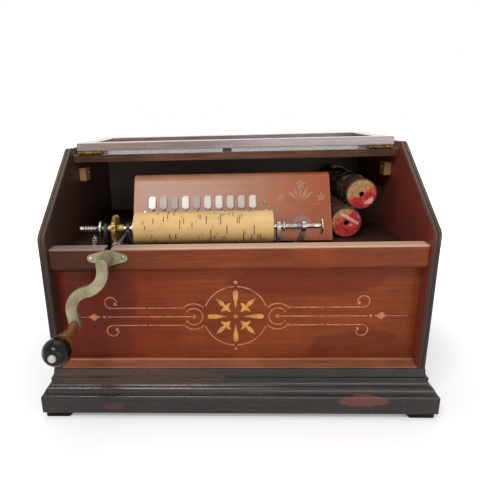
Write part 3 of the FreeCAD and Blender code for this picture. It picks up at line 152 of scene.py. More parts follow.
def polished_wood(
    name, stops, grain, band=3.0, rough=(0.32, 0.5), coat=0.15, shine=0.3, depth=0.8, shift=None, wear=None
):
    """Stained and varnished wood: bands of grain, open pores, broad clouds of old varnish.

    shift is (low x, high x, low colour, high colour) in mm, laid over the wood from left to right.
    """
    material, tree, shader = start_material(
        name, Coat_Weight=coat, Coat_Roughness=0.2, Specular_IOR_Level=shine
    )
    coords = add(tree, "TexCoord")
    across = 1 / (band * MM)
    along = across / 22
    scale = [along if letter == grain else across for letter in "XYZ"]
    lay = add(tree, "Mapping", {"Vector": (coords, "Object"), "Scale": scale})
    bands = add(
        tree, "TexNoise", {"Vector": lay, "Scale": 1, "Detail": 6, "Roughness": 0.65, "Distortion": 0.5}
    )
    colour = add(tree, "ValToRGB", {"Fac": (bands, "Fac")}, stops=stops)
    clouds = add(
        tree, "TexNoise", {"Vector": (coords, "Object"), "Scale": 22, "Detail": 4, "Roughness": 0.6}
    )
    shade = add(
        tree,
        "MapRange",
        {"Value": (clouds, "Fac"), "From Min": 0.3, "From Max": 0.7, "To Min": 0.72, "To Max": 1.25},
    )
    finish = add(
        tree,
        "Mix",
        {"Factor_Float": depth, "A_Color": colour, "B_Color": shade},
        data_type="RGBA",
        blend_type="MULTIPLY",
    )
    if shift:
        low, high, low_colour, high_colour = shift
        tint = before(tree, coords, high_colour, "X", low, high, low_colour)
        finish = add(
            tree,
            "Mix",
            {"Factor_Float": 1, "A_Color": finish, "B_Color": tint},
            data_type="RGBA",
            blend_type="MULTIPLY",
        )
    if wear:
        finish = wear(tree, coords, finish)
    feed(tree, finish, shader, "Base Color")
    glossy, dull = rough
    gloss = add(
        tree,
        "MapRange",
        {"Value": (clouds, "Fac"), "From Min": 0.3, "From Max": 0.7, "To Min": glossy, "To Max": dull},
    )
    feed(tree, gloss, shader, "Roughness")
    pores = add(tree, "Bump", {"Height": (bands, "Fac"), "Strength": 0.12, "Distance": 0.4 * MM})
    feed(tree, pores, shader, "Normal")
    return material


def verts_in(items):
    return [item for item in items if isinstance(item, bmesh.types.BMVert)]


def copy_of(node):
    """The CAD mesh of a node, cleaned, and taken apart where solids touch."""
    bm = bmesh.new()
    bm.from_mesh(nodes[node].data)
    bmesh.ops.remove_doubles(bm, verts=bm.verts, dist=0.002 * MM)
    joints = [edge for edge in bm.edges if len(edge.link_faces) > 2]
    bmesh.ops.split_edges(bm, edges=joints)
    bmesh.ops.dissolve_limit(bm, angle_limit=math.radians(0.5), verts=bm.verts, edges=bm.edges)
    return bm


CORNER = math.radians(38)


def ease(bm, width, segments):
    """Round the sharp edges of a mesh, as sanding and handling do."""
    sharp = [
        edge
        for edge in bm.edges
        if len(edge.link_faces) == 2 and edge.calc_face_angle(0) > CORNER
    ]
    bmesh.ops.bevel(
        bm,
        geom=sharp,
        offset=width * MM,
        offset_type="OFFSET",
        affect="EDGES",
        segments=segments,
        profile=0.5,
        material=-1,
        clamp_overlap=True,
    )


def finish_piece(name, bm, material, body, slot, smooth=34, flat_faces=False):
    """Turn a mesh into a piece that rides on a body, or on none."""
    mesh = bpy.data.meshes.new(name)
    bm.to_mesh(mesh)
    bm.free()
    mesh.materials.append(material)
    mesh.polygons.foreach_set("use_smooth", [True] * len(mesh.polygons))
    mesh.set_sharp_from_angle(angle=math.radians(smooth))
    piece = bpy.data.objects.new(name, mesh)
    bpy.context.scene.collection.objects.link(piece)
    if flat_faces:
        weigh = piece.modifiers.new("flat_faces", "WEIGHTED_NORMAL")
        weigh.keep_sharp = True
    if body:
        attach(piece, body)
    return piece


def dress(node, material, width=0.5, segments=2):
    """Stand an eased and finished copy in for a CAD node."""
    bm = copy_of(node)
    if width:
        ease(bm, width, segments)
    body = nodes[node]["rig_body"]
    settings = {"smooth": 50, "flat_faces": True} if width else {}
    piece = finish_piece(f"{node}_finished", bm, material, body, SLOT_OF[node], **settings)
    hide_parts(node)
    return piece


def worn_patch(tree, coords, under, middle, reach, colour, ragged=9, grain=70, share=1.0):
    """Lay another colour over a ragged oval patch. Its middle, reach and raggedness are in mm."""
    wobble = add(
        tree, "TexNoise", {"Vector": (coords, "Object"), "Scale": grain, "Detail": 4, "Roughness": 0.6}
    )
    push = add(
        tree,
        "VectorMath",
        {0: (wobble, "Color"), 1: Vector((4, 1, 1)) * ragged * MM},
        operation="MULTIPLY",
    )
    moved = add(tree, "VectorMath", {0: (coords, "Object"), 1: push}, operation="ADD")
    start = Vector(middle) * MM + Vector((4, 1, 1)) * ragged * MM / 2
    away = add(tree, "VectorMath", {0: moved, 1: start}, operation="SUBTRACT")
    shape = add(tree, "VectorMath", {0: away, 1: Vector(reach) * MM}, operation="DIVIDE")
    far = add(tree, "VectorMath", {0: shape}, operation="LENGTH")
    cover = add(
        tree,
        "MapRange",
        {"Value": (far, "Value"), "From Min": 0.92, "From Max": 1.06, "To Min": share, "To Max": 0},
    )
    return add(tree, "Mix", {"Factor_Float": cover, "A_Color": under, "B_Color": colour}, data_type="RGBA")


EBONY = [(0.28, "#120D0B"), (0.5, "#201816"), (0.7, "#302421")]
BROWN_UNDER = "#5A2E22"


def rubbed_brown(tree, coords, under):
    """A flake down to brown wood at the right, a smaller one at the left, a rub and pale specks."""
    flaked = worn_patch(tree, coords, under, (150, -136, 25), (25, 60, 7), BROWN_UNDER, 11, 48)
    left = worn_patch(tree, coords, flaked, (-150, -136, 18), (14, 60, 5), "#4A2A20", 9, 60, 0.6)
    rubbed = worn_patch(tree, coords, left, (-120, -128, 50), (105, 60, 12), "#3E2419", 14, 30, 0.75)
    grit = add(
        tree, "TexNoise", {"Vector": (coords, "Object"), "Scale": 330, "Detail": 3, "Roughness": 0.7}
    )
    specks = add(
        tree, "MapRange", {"Value": (grit, "Fac"), "From Min": 0.66, "From Max": 0.7, "To Max": 0.7}
    )
    return add(
        tree, "Mix", {"Factor_Float": specks, "A_Color": rubbed, "B_Color": "#6A5648"}, data_type="RGBA"
    )


ebonised = polished_wood("ebonised_softwood", EBONY, "X", 2.2, (0.22, 0.36), 0.1, 0.36, wear=rubbed_brown)
ebonised_sides = polished_wood("ebonised_softwood_sides", EBONY, "Y", 2.2, (0.22, 0.36), 0.1, 0.36)
for name in ("base_front", "base_back"):
    dress(name, ebonised, 0.7)
dress("base_sides", ebonised_sides, 0.7)


# Four corner blocks carry the base. They are offcuts of the same black wood, with their inner
# ends sawn off at a slant and their corners knocked round by years on tables.
dress("corner_feet", polished_wood("ebonised_block", EBONY, "X", 2.6, (0.5, 0.7), 0.0, 0.05), 1.6, 3)


# The front panel is a thin board of stained walnut, red at its ends and tawny at its middle,
# under a clear varnish that has clouded. It sits back in the frame of rail, sides and sill.
def clouded_varnish(tree, coords, under):
    """Darker and redder clouds where the varnish has gone: one at the left and two at the right."""
    left = worn_patch(tree, coords, under, (-175, -100, 120), (60, 60, 70), "#4A1A10", 20, 16, 0.5)
    right = worn_patch(tree, coords, left, (85, -100, 170), (90, 60, 24), "#5E1A0A", 22, 14, 0.55)
    return worn_patch(tree, coords, right, (155, -100, 78), (60, 60, 24), "#4E1A0E", 20, 18, 0.5)


panel_walnut = polished_wood(
    "varnished_walnut_panel",
    [(0.28, "#662A10"), (0.5, "#743314"), (0.72, "#7F3C19")],
    "X",
    4.2,
    (0.3, 0.44),
    0.02,
    0.12,
    0.75,
    shift=(-230, 0, "#E09C88", "#FFFFFF"),
    wear=clouded_varnish,
)
dress("front_panel", panel_walnut, 0.3)
panel_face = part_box("front_panel")[0].y


# The ornament on the panel is an old stencil in bronze paint: a ring with eight leaves round a
# dot, two pairs of hooks, and lines that run out to curls and a lozenge. It lies on the varnish.
def paint_material(name, bright, dull, rough=0.45):
    """Bronze powder in varnish: thin in places, so that the wood shows through as a darker tone."""
    material, tree, shader = start_material(name, Roughness=rough)
    coords = add(tree, "TexCoord")
    thin = add(
        tree, "TexNoise", {"Vector": (coords, "Object"), "Scale": 160, "Detail": 5, "Roughness": 0.7}
    )
    tone = add(tree, "ValToRGB", {"Fac": (thin, "Fac")}, stops=[(0.36, dull), (0.58, bright)])
    feed(tree, tone, shader, "Base Color")
    return material


PAINT = 0.12
FULL_TURN = 360


def line_of(bm, start, end, width):
    """A straight painted line between two points of the flat, drawn in mm."""
    start, end = Vector(start), Vector(end)
    side = Vector((-(end - start).y, (end - start).x)).normalized() * width / 2
    corners = [start + side, start - side, end - side, end + side]
    bm.faces.new([bm.verts.new((corner.x, corner.y, 0)) for corner in corners])


def arc_of(bm, middle, radius, first, last, width):
    """A painted arc round a middle, between two angles in degrees."""
    way = Vector((math.cos(math.radians(first)), math.sin(math.radians(first)), 0))
    hub = Vector((middle[0], middle[1], 0))
    ends = [bm.verts.new(hub + way * (radius + step * width / 2)) for step in (-1, 1)]
    edge = bm.edges.new(ends)
    steps = max(4, int(abs(last - first) / 6))
    bmesh.ops.spin(
        bm,
        geom=[*ends, edge],
        cent=hub,
        axis=(0, 0, 1),
        angle=math.radians(last - first),
        steps=steps,
        use_merge=abs(last - first) == FULL_TURN,
    )


def dot_of(bm, middle, radius):
    bmesh.ops.create_circle(
        bm, cap_ends=True, segments=20, radius=radius, matrix=Matrix.Translation((middle[0], middle[1], 0))
    )


def leaf_of(bm, outline, middle, angle):
    """A leaf from half of its outline (along, out), mirrored and turned to its angle."""
    turn = Matrix.Translation((middle[0], middle[1], 0)) @ Matrix.Rotation(math.radians(angle), 4, "Z")
    points = outline + [(x, -y) for x, y in reversed(outline) if abs(y) > 1e-6]
    bm.faces.new([bm.verts.new(turn @ Vector((x, y, 0))) for x, y in points])


def lay_paint(name, bm, material, to_place, body, slot):
    """Give the flat shapes their thickness of paint, and lay them on their board."""
    bmesh.ops.remove_doubles(bm, verts=bm.verts, dist=0.01)
    bmesh.ops.triangulate(bm, faces=[f for f in bm.faces if len(f.verts) > 4])
    flat = bm.faces[:]
    raised = bmesh.ops.extrude_face_region(bm, geom=flat, use_keep_orig=True)
    tops = verts_in(raised["geom"])
    bmesh.ops.translate(bm, verts=tops, vec=(0, 0, PAINT))
    bmesh.ops.recalc_face_normals(bm, faces=bm.faces)
    bmesh.ops.transform(bm, matrix=to_place @ Matrix.Scale(MM, 4), verts=bm.verts)
    return finish_piece(name, bm, material, body, slot)


RING = 39
HOOK_X = 51.2
CURL = (153, 18.8)
LINE = 1.35
LOZENGE = [(-9.5, 0), (-6, 0.8), (-3, 2.6), (0, 5.1), (3, 2.6), (6, 0.8), (9.5, 0)]
PETAL = [(10.8, 0), (12.5, 0.6), (16.5, 1.2), (20, 1.9), (24, 2.7)]
PETAL += [(28, 3.1), (31, 3.1), (33, 2.3), (34, 1.0), (34.3, 0)]
STAR = [(8.2, 0), (10.5, 1.1), (12.6, 2.0), (14.4, 2.9), (15.2, 4.6), (16.0, 7.2), (16.5, 8.9)]
STAR += [(18.4, 6.4), (18.9, 4.2), (18.6, 2.6), (18.9, 1.6), (20, 1.6), (22, 2.3), (24.5, 2.9)]
STAR += [(26.5, 2.6), (29, 1.5), (31.5, 0.5), (34.5, 0)]


def turned_about(bm, *ways):
    """Repeat part of an ornament on the other side of each axis."""
    for way in ways:
        again = bmesh.ops.duplicate(bm, geom=bm.verts[:] + bm.edges[:] + bm.faces[:])
        bmesh.ops.scale(bm, vec=way, verts=verts_in(again["geom"]))


flower = bmesh.new()
for quarter in range(4):
    leaf_of(flower, PETAL, (0, 0), quarter * 90)
    leaf_of(flower, STAR, (0, 0), quarter * 90 + 45)
bronze = paint_material("bronze_stencil_paint", "#C68A3A", "#97601F")
upright = Matrix(((1, 0, 0, 0), (0, 0, -1, 0), (0, 1, 0, 0), (0, 0, 0, 1)))
flower_place = Matrix.Translation((0, panel_face, 122.2 * MM)) @ upright
lay_paint("stencil_flower", flower, bronze, flower_place, "case", "case_wood")

lines = bmesh.new()
arc_of(lines, (0, 0), RING, 20, 87.5, LINE)
for radius, first, last in ((17, 136, 43), (10.8, 180, 40)):
    arc_of(lines, (HOOK_X, 0), radius, first, last, LINE)
    tip = math.radians(last)
    dot_of(lines, (HOOK_X + radius * math.cos(tip), radius * math.sin(tip)), 1.6)
dot_of(lines, (67.8, 11.6), 1.5)
line_of(lines, (67.8, 11.6), (107.6, 11.6), LINE)
line_of(lines, (109.8, 11.6), (152, 11.6), LINE)
arc_of(lines, CURL, 7.2, -92, 196, LINE)
tip = math.radians(196)
dot_of(lines, (CURL[0] + 5.9 * math.cos(tip), CURL[1] + 5.9 * math.sin(tip)), 2.3)
turned_about(lines, (1, -1, 1))
dot_of(lines, (HOOK_X, 0), 2.4)
line_of(lines, (HOOK_X, 0), (107.8, 0), LINE)
line_of(lines, (109.6, 0), (159, 0), LINE * 0.8)
dot_of(lines, (162.5, 0), 1.9)
leaf_of(lines, LOZENGE, (175.2, 0), 0)
line_of(lines, (184, 0), (207, 0), LINE * 0.6)
turned_about(lines, (-1, 1, 1))
dot_of(lines, (0, 0), 2.8)
dot_of(lines, (0, 44.2), 2.2)
dot_of(lines, (0, -43.8), 1.7)
copper = paint_material("copper_stencil_paint", "#B8703E", "#86431F")
lay_paint("stencil_lines", lines, copper, flower_place, "case", "case_wood")


# The case is framed by side panels with a beaded front edge, a front rail and a sill. All are walnut,
# almost black where hands and soot have darkened it, and brown where it has been wiped; painted shade
# darkens them inside the case, and a painted highlight lies on the rail's top edge.
def inner_shade_and_lamp_light(tree, coords, under):
    """The faces inside are unvarnished. Painted shade makes them near black at the left, and painted light
    makes them dark red at the right, where the lamp falls on that wall.
    """
    # painted shade at the left of the inside and painted light on the right wall
    stain = before(tree, coords, "#7C362C", "X", -80, 120, "#402C26")
    dark = add(tree, "Mix", {"Factor_Float": 0.85, "A_Color": under, "B_Color": stain}, data_type="RGBA")
    outside = span_mask(tree, coords, "X", PANEL_FACE_X, PANEL_FACE_X + 0.3, mirrored=True)
    return add(tree, "Mix", {"Factor_Float": outside, "A_Color": dark, "B_Color": under}, data_type="RGBA")


PANEL_FACE_X = 217.3
CASE_WALNUT = [(0.25, "#2E1A13"), (0.5, "#48291D"), (0.75, "#5E3826")]
case_walnut = polished_wood(
    "stained_walnut_case", CASE_WALNUT, "Z", 3.4, (0.34, 0.5), 0.1, 0.3, wear=inner_shade_and_lamp_light
)
for name in ("side_panel_left", "side_panel_right"):
    dress(name, case_walnut, 0.8)


RAIL_TOP_Z = 213.8


def rubbed_and_highlit_top(tree, coords, under):
    """The rail's rounded top edge is painted pale, a painted highlight over some real rubbing, and is
    greyer at the left.
    """
    rubbed = before(tree, coords, "#BE9A82", "X", -190, -60, "#7C6A68")
    # painted highlight along the rounded top edge
    return before(tree, coords, rubbed, "Z", RAIL_TOP_Z - 2.4, RAIL_TOP_Z - 0.6, under)


rail_walnut = polished_wood(
    "stained_walnut_rail",
    [(0.25, "#5E2811"), (0.5, "#6E3212"), (0.75, "#7B3D1A")],
    "X",
    3.2,
    (0.3, 0.46),
    0.03,
    0.14,
    shift=(-215, -60, "#8E9AA0", "#FFF6F0"),
    wear=rubbed_and_highlit_top,
)
dress("front_rail", rail_walnut, 0.9, 3)
sill_walnut = polished_wood(
    "stained_walnut_sill",
    [(0.25, "#6A3C2A"), (0.5, "#865036"), (0.75, "#9C6446")],
    "X",
    rough=(0.35, 0.5),
    coat=0.1,
)
dress("sill_moulding", sill_walnut, 0.4)


# Two half-round beads run up each side panel's front edge and along its slope, bent round where
# the edge turns. Their polish has gone: grey on the slope, brown at the turn, dark below.
BEAD = 2.0
BEADS = 2
BEAD_PITCH = 4.4


def edge_tones_and_groove_shade(tree, coords, under):
    """Dark below, brown at the turn, grey above, and painted shade in the groove between the beads."""
    lower = before(tree, coords, "#E8CDB8", "Z", 205, 232, "#8C7A72")
    tone = before(tree, coords, "#FFFFFF", "Z", 236, 300, lower)
    toned = add(
        tree,
        "Mix",
        {"Factor_Float": 1, "A_Color": under, "B_Color": tone},
        data_type="RGBA",
        blend_type="MULTIPLY",
    )
    # painted shade in the groove between the two beads
    spot = add(tree, "SeparateXYZ", {"Vector": (coords, "Object")})
    out = add(tree, "Math", {0: (spot, "X")}, operation="ABSOLUTE")
    inward = add(tree, "Math", {0: out, 1: first_groove}, operation="SUBTRACT")
    crest = add(tree, "Math", {0: inward, 1: BEAD_PITCH / 2 * MM}, operation="PINGPONG")
    groove = add(
        tree,
        "MapRange",
        {"Value": crest, "From Min": 0.25 * MM, "From Max": 1.1 * MM},
        interpolation_type="SMOOTHSTEP",
    )
    return add(
        tree, "Mix", {"Factor_Float": groove, "A_Color": "#231A16", "B_Color": toned}, data_type="RGBA"
    )


panel_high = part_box("side_panel_left")[1]
first_groove = -panel_high.x + 0.1 * MM
edge_wood = polished_wood(
    "dry_walnut_edge",
    [(0.25, "#3C2E26"), (0.5, "#503F36"), (0.75, "#62534A")],
    "Z",
    2.0,
    (0.45, 0.6),
    0.0,
    wear=edge_tones_and_groove_shade,
)
SLOPE_FOOT = 229.2 * MM
SLOPE_DEPTH = 127.4 * MM
TURN_RADIUS = 11 * MM
PEAK_RADIUS = 10 * MM
slope_way = Vector((0, SLOPE_DEPTH, panel_high.z - SLOPE_FOOT))
slope_length = slope_way.length
slope_way.normalize()
slope_lean = math.acos(slope_way.z)
turn_reach = TURN_RADIUS * math.tan(slope_lean / 2)
peak_reach = PEAK_RADIUS * math.tan((math.pi / 2 - slope_lean) / 2)


def draw_out(bm, ring, way):
    """Draw a ring of edges out along a straight run, and return the ring at its end."""
    drawn = bmesh.ops.extrude_edge_only(bm, edges=ring)
    ends = verts_in(drawn["geom"])
    bmesh.ops.translate(bm, verts=ends, vec=way)
    return [e for e in bm.edges if e.verts[0] in ends and e.verts[1] in ends]


def bend_round(bm, ring, middle, angle):
    """Sweep a ring of edges round the X axis, and return the ring at its end."""
    verts = list({vert for edge in ring for vert in edge.verts})
    swept = bmesh.ops.spin(bm, geom=verts + ring, cent=middle, axis=(1, 0, 0), angle=-angle, steps=8)
    return [item for item in swept["geom_last"] if isinstance(item, bmesh.types.BMEdge)]


for side_name in ("left", "right"):
    low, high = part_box(f"side_panel_{side_name}")
    beads = bmesh.new()
    for index in range(BEADS):
        x = (low.x + high.x) / 2 + (index - (BEADS - 1) / 2) * BEAD_PITCH * MM
        turns = [math.pi * step / 8 for step in range(9)]
        rim = [
            beads.verts.new(
                (x + BEAD * MM * math.cos(turn), FRONT - BEAD * MM * 0.5 * math.sin(turn), low.z)
            )
            for turn in turns
        ]
        foot = [beads.edges.new(pair) for pair in zip(rim, rim[1:] + rim[:1])]
        rise = SLOPE_FOOT - turn_reach
        ring = draw_out(beads, foot, (0, 0, rise - low.z))
        ring = bend_round(beads, ring, (x, FRONT + TURN_RADIUS, rise), slope_lean)
        ring = draw_out(beads, ring, slope_way * (slope_length - turn_reach - peak_reach))
        peak = Vector((x, FRONT + SLOPE_DEPTH + peak_reach, panel_high.z - PEAK_RADIUS))
        ring = bend_round(beads, ring, peak, math.pi / 2 - slope_lean)
        bmesh.ops.edgeloop_fill(beads, edges=foot)
        bmesh.ops.edgeloop_fill(beads, edges=ring)
    bmesh.ops.remove_doubles(beads, verts=beads.verts, dist=0.01 * MM)
    bmesh.ops.recalc_face_normals(beads, faces=beads.faces)
    finish_piece(f"edge_beads_{side_name}", beads, edge_wood, "case", "case_wood")


# The top board and the lid's frame are the same walnut. The lid's frame is painted greyer, a painted sheen
# for the bright sky that its upper faces reflect. The lid is folded right back, so that its near bar lies
# over the front edge of the top board.
# painted sheen: the grey of these stops stands in for reflected sky
lid_walnut = polished_wood(
    "walnut_lid_painted_sheen",
    [(0.25, "#60504A"), (0.5, "#786662"), (0.75, "#8E7E7A")],
    "X",
    3.0,
    (0.14, 0.24),
    1.0,
    0.5,
    shift=(-210, 0, "#FFF0E4", "#F0E2E2"),
)
dress("lid_frame", lid_walnut, 0.8)
board_walnut = polished_wood(
    "french_polished_top_board",
    [(0.25, "#4E362E"), (0.5, "#68493D"), (0.75, "#80604F")],
    "X",
    3.0,
    (0.12, 0.2),
    1.0,
    0.5,
)
dress("top_board", board_walnut, 0.8)


BACK_FACE_Y = 195.9


def soot(tree, coords, under):
    """The back board's inner face has never been varnished, and is dull with soot."""
    return before(tree, coords, under, "Y", BACK_FACE_Y, BACK_FACE_Y + 0.5, "#5C4C44")


sooty_back = polished_wood("stained_back_board", CASE_WALNUT, "X", 3.4, (0.4, 0.6), 0.0, 0.2, wear=soot)
dress("back_panel", sooty_back, 0.4)


# The pane is old window glass, thin and a little green, held in grooves round the frame.
def clear_glass():
    material, tree, shader = start_material(
        "old_window_glass", Roughness=0.03, IOR=1.52, Transmission_Weight=1.0
    )
    shader.inputs["Base Color"].default_value = linear("#E8F2EC")
    return material


dress("lid_glass", clear_glass(), 0.0)


# The hinges are small brass butts, screwed to the top board and the lid. The brass has gone
# brown, and is bright only in patches where it is handled.
def aged_metal(name, stops, rough=(0.3, 0.5), metallic=1.0, spots=140, wear=None):
    """Metal with a handled, uneven skin: bright where it is rubbed, dull where it has oxidised."""
    material, tree, shader = start_material(name, Metallic=metallic)
    coords = add(tree, "TexCoord")
    skin = add(
        tree, "TexNoise", {"Vector": (coords, "Object"), "Scale": spots, "Detail": 5, "Roughness": 0.65}
    )
    tone = add(tree, "ValToRGB", {"Fac": (skin, "Fac")}, stops=stops)
    if wear:
        tone = wear(tree, coords, tone)
    feed(tree, tone, shader, "Base Color")
    bright, dull = rough
    gloss = add(
        tree,
        "MapRange",
        {"Value": (skin, "Fac"), "From Min": 0.35, "From Max": 0.65, "To Min": dull, "To Max": bright},
    )
    feed(tree, gloss, shader, "Roughness")
    dents = add(tree, "Bump", {"Height": (skin, "Fac"), "Strength": 0.08, "Distance": 0.3 * MM})
    feed(tree, dents, shader, "Normal")
    return material


old_brass = aged_metal("aged_brass", [(0.35, "#2E2210"), (0.52, "#5E4A24"), (0.72, "#84703E")], (0.4, 0.6))
for name in ("hinge_leaves_case", "hinge_leaves_lid"):
    dress(name, old_brass, 0.15)


# A strip of dark rubber on the top board keeps the folded lid off it.
def moulded_rubber():
    material, tree, shader = start_material("hard_rubber", Roughness=0.6)
    coords = add(tree, "TexCoord")
    bloom = add(tree, "TexNoise", {"Vector": (coords, "Object"), "Scale": 300, "Detail": 3})
    stops = [(0.4, "#171310"), (0.6, "#2A231E")]
    tone = add(tree, "ValToRGB", {"Fac": (bloom, "Fac")}, stops=stops)
    feed(tree, tone, shader, "Base Color")
    return material


dress("lid_bumper", moulded_rubber(), 0.8, 3)


# The stop blocks under the top board are light softwood, left plain.
plain_wood = polished_wood(
    "plain_softwood", [(0.25, "#7C5A36"), (0.5, "#98713F"), (0.75, "#AC8450")], "Z", 2.4, (0.5, 0.7), 0.0
)
dress("stop_blocks", plain_wood, 0.8)
block_low, block_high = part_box("stop_blocks")
BLOCK_WIDTH = 9.3 * MM
NAIL_HEAD = 1.3 * MM
NAIL_SHANK = 0.5 * MM
NAIL_LENGTH = 4.4 * MM
NAIL_STANDS_OUT = 3.2 * MM
NAIL_IN = 4 * MM
NAIL_DOWN = 6 * MM
SHANK_MIDDLE = 1.8 * MM
sideways = Matrix.Rotation(math.pi / 2, 4, "Y")
nails = bmesh.new()
for side in (-1, 1):
    x = side * (block_high.x - BLOCK_WIDTH - NAIL_STANDS_OUT)
    head = Vector((x, block_low.y + NAIL_IN, block_high.z - NAIL_DOWN))
    bmesh.ops.create_uvsphere(
        nails, u_segments=12, v_segments=8, radius=NAIL_HEAD, matrix=Matrix.Translation(head)
    )
    bmesh.ops.create_cone(
        nails,
        cap_ends=True,
        segments=10,
        radius1=NAIL_SHANK,
        radius2=NAIL_SHANK,
        depth=NAIL_LENGTH,
        matrix=Matrix.Translation(head + Vector((side * SHANK_MIDDLE, 0, 0))) @ sideways,
    )


# The shelf, the floor board, the chest and the bearing block inside are stained softwood, dark with dust
# and oil, and darker still as painted shade for the inside of the case.
# dark stain with painted shade for the inside of the case
dust_and_shade_wood = polished_wood(
    "stained_softwood_inside",
    [(0.25, "#20120E"), (0.5, "#311C15"), (0.75, "#40261D")],
    "X",
    rough=(0.5, 0.7),
    coat=0.0,
    shine=0.15,
)
for name in ("action_shelf", "bottom_board", "reed_chest", "rear_bearing", "cob_rest"):
    dress(name, dust_and_shade_wood, 0.4)
for name in ("feeder_board", "reservoir_board"):
    dress(name, dust_and_shade_wood, 0.5)


# The escutcheon and the crank arm are iron castings, nickelled long ago. The nickel has dulled
# to the colour of khaki, with dark pits.
RIVET_END_Y = -207


def steel_rivet(tree, coords, under):
    """The pin's riveted end is bare steel."""
    return before(tree, coords, under, "Y", RIVET_END_Y, RIVET_END_Y + 1, "#A8A49E")


khaki_nickel = aged_metal(
    "dulled_nickel_casting",
    [(0.3, "#70674F"), (0.5, "#857B5F"), (0.7, "#968D74")],
    (0.36, 0.5),
    0.55,
    60,
    wear=steel_rivet,
)
dress("crank_escutcheon", khaki_nickel, 0.6, 3)
dress("crank_arm", khaki_nickel, 1.1, 3)


# The shaft, worm, spindles, rod and screws are bright steel that has greyed.
STEEL = [(0.35, "#6E6A64"), (0.5, "#9A958C"), (0.7, "#C4BFB4")]
grey_steel = aged_metal("greyed_steel", STEEL, (0.25, 0.42), spots=120)
finish_piece("stop_nails", nails, grey_steel, "case", "steel")
for name in ("crank_shaft", "worm", "drive_spindle", "tail_spindle", "connecting_rod", "wood_screws"):
    dress(name, grey_steel, 0.0)
dress("key_pivot_wires", grey_steel, 0.0)
dress("tail_knob", aged_metal("rubbed_steel_knob", [(0.35, "#8E867C"), (0.6, "#D8D0C4")], (0.16, 0.3)), 0.3)


# The worm wheel and the reeds are brass, darker than the hinges and oily in the teeth.
BRASS = [(0.35, "#5E4C26"), (0.5, "#88733E"), (0.7, "#B8A264")]
gear_brass = aged_metal("oiled_brass", BRASS, (0.3, 0.48), 0.85, 200)
dress("worm_wheel", gear_brass, 0.0)
dress("reeds", gear_brass, 0.2)


# The springs are hard-drawn wire, dull in places and rubbed bright in others.
spring_wire = aged_metal("drawn_spring_wire", [(0.35, "#77726A"), (0.6, "#CFC9BE")], (0.2, 0.36), 1.0, 260)
dress("return_spring", spring_wire, 0.0)
tail_spring = dress("tail_spring", spring_wire, 0.0)
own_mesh(tail_spring)


# A second, softer coil stands on the shelf under the end of the drive spindle, with a bright
# wire beside it. Both are bent from the same drawn wire.
WIRE = 0.6 * MM
COIL_RADIUS = 4.4 * MM
COIL_TURNS = 6
COIL_STEPS = 20
COIL_PITCH = 2.9 * MM
COIL_X, COIL_Y = -177.5 * MM, -66 * MM
ROD_X, ROD_Y = -171 * MM, -79 * MM
ROD_RADIUS = 0.8 * MM
ROD_HEIGHT = 24 * MM
coil = bmesh.new()
across = Matrix.Translation((COIL_RADIUS, 0, 0)) @ Matrix.Rotation(math.pi / 2, 4, "X")
bmesh.ops.create_circle(coil, segments=8, radius=WIRE, matrix=across)
bmesh.ops.spin(
    coil,
    geom=coil.verts[:] + coil.edges[:],
    cent=(0, 0, 0),
    axis=(0, 0, 1),
    dvec=(0, 0, COIL_PITCH / COIL_STEPS),
    angle=math.tau * COIL_TURNS,
    steps=COIL_TURNS * COIL_STEPS,
)
bmesh.ops.holes_fill(coil, edges=[e for e in coil.edges if e.is_boundary], sides=8)
shelf_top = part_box("action_shelf")[1].z
bmesh.ops.rotate(coil, verts=coil.verts, cent=(0, 0, 0), matrix=Matrix.Rotation(0.12, 3, "Y"))
bmesh.ops.translate(coil, verts=coil.verts, vec=(COIL_X, COIL_Y, shelf_top + WIRE))
rod_middle = Matrix.Translation((ROD_X, ROD_Y, shelf_top + ROD_HEIGHT / 2))
bmesh.ops.create_cone(
    coil,
    cap_ends=True,
    segments=10,
    radius1=ROD_RADIUS,
    radius2=ROD_RADIUS,
    depth=ROD_HEIGHT,
    matrix=rod_middle @ Matrix.Rotation(-0.08, 4, "Y"),
)
bmesh.ops.recalc_face_normals(coil, faces=coil.faces)
finish_piece("standing_coil", coil, spring_wire, "case", "steel")


# The brackets are small iron castings. The drive's is japanned black and worn to the metal in
# specks, and the tail's has lost its black and is rubbed grey.
JAPAN_BLACK = [(0.35, "#191614"), (0.58, "#37312C"), (0.8, "#8A8276")]
japanned_iron = aged_metal("japanned_iron", JAPAN_BLACK, (0.22, 0.45), 0.8, 110)
dress("drive_bracket", japanned_iron, 0.5)
BARE_IRON = [(0.35, "#4E4640"), (0.5, "#8C8278"), (0.7, "#B8AEA2")]
rubbed_iron = aged_metal("rubbed_cast_iron", BARE_IRON, (0.22, 0.4), spots=70)
dress("tail_bracket", rubbed_iron, 0.6)


# The handle is a turned cone of brown varnished wood with a black polished ball at its end.
BEECH = [(0.25, "#4A2A14"), (0.5, "#6E4424"), (0.75, "#8A5C34")]
grip_wood = polished_wood("turned_varnished_beech", BEECH, "Y", 2.0, (0.25, 0.4), 0.3)
dress("handle_grip", grip_wood, 0.3)


def black_polish():
    material, tree, shader = start_material("black_polished_ball", Specular_IOR_Level=0.18)
    coords = add(tree, "TexCoord")
    rubs = add(tree, "TexNoise", {"Vector": (coords, "Object"), "Scale": 90, "Detail": 5})
    stops = [(0.4, "#060606"), (0.62, "#141210")]
    tone = add(tree, "ValToRGB", {"Fac": (rubs, "Fac")}, stops=stops)
    gloss = add(
        tree,
        "MapRange",
        {"Value": (rubs, "Fac"), "From Min": 0.35, "From Max": 0.65, "To Min": 0.06, "To Max": 0.2},
    )
    feed(tree, tone, shader, "Base Color")
    feed(tree, gloss, shader, "Roughness")
    return material


dress("handle_ball", black_polish(), 0.3)


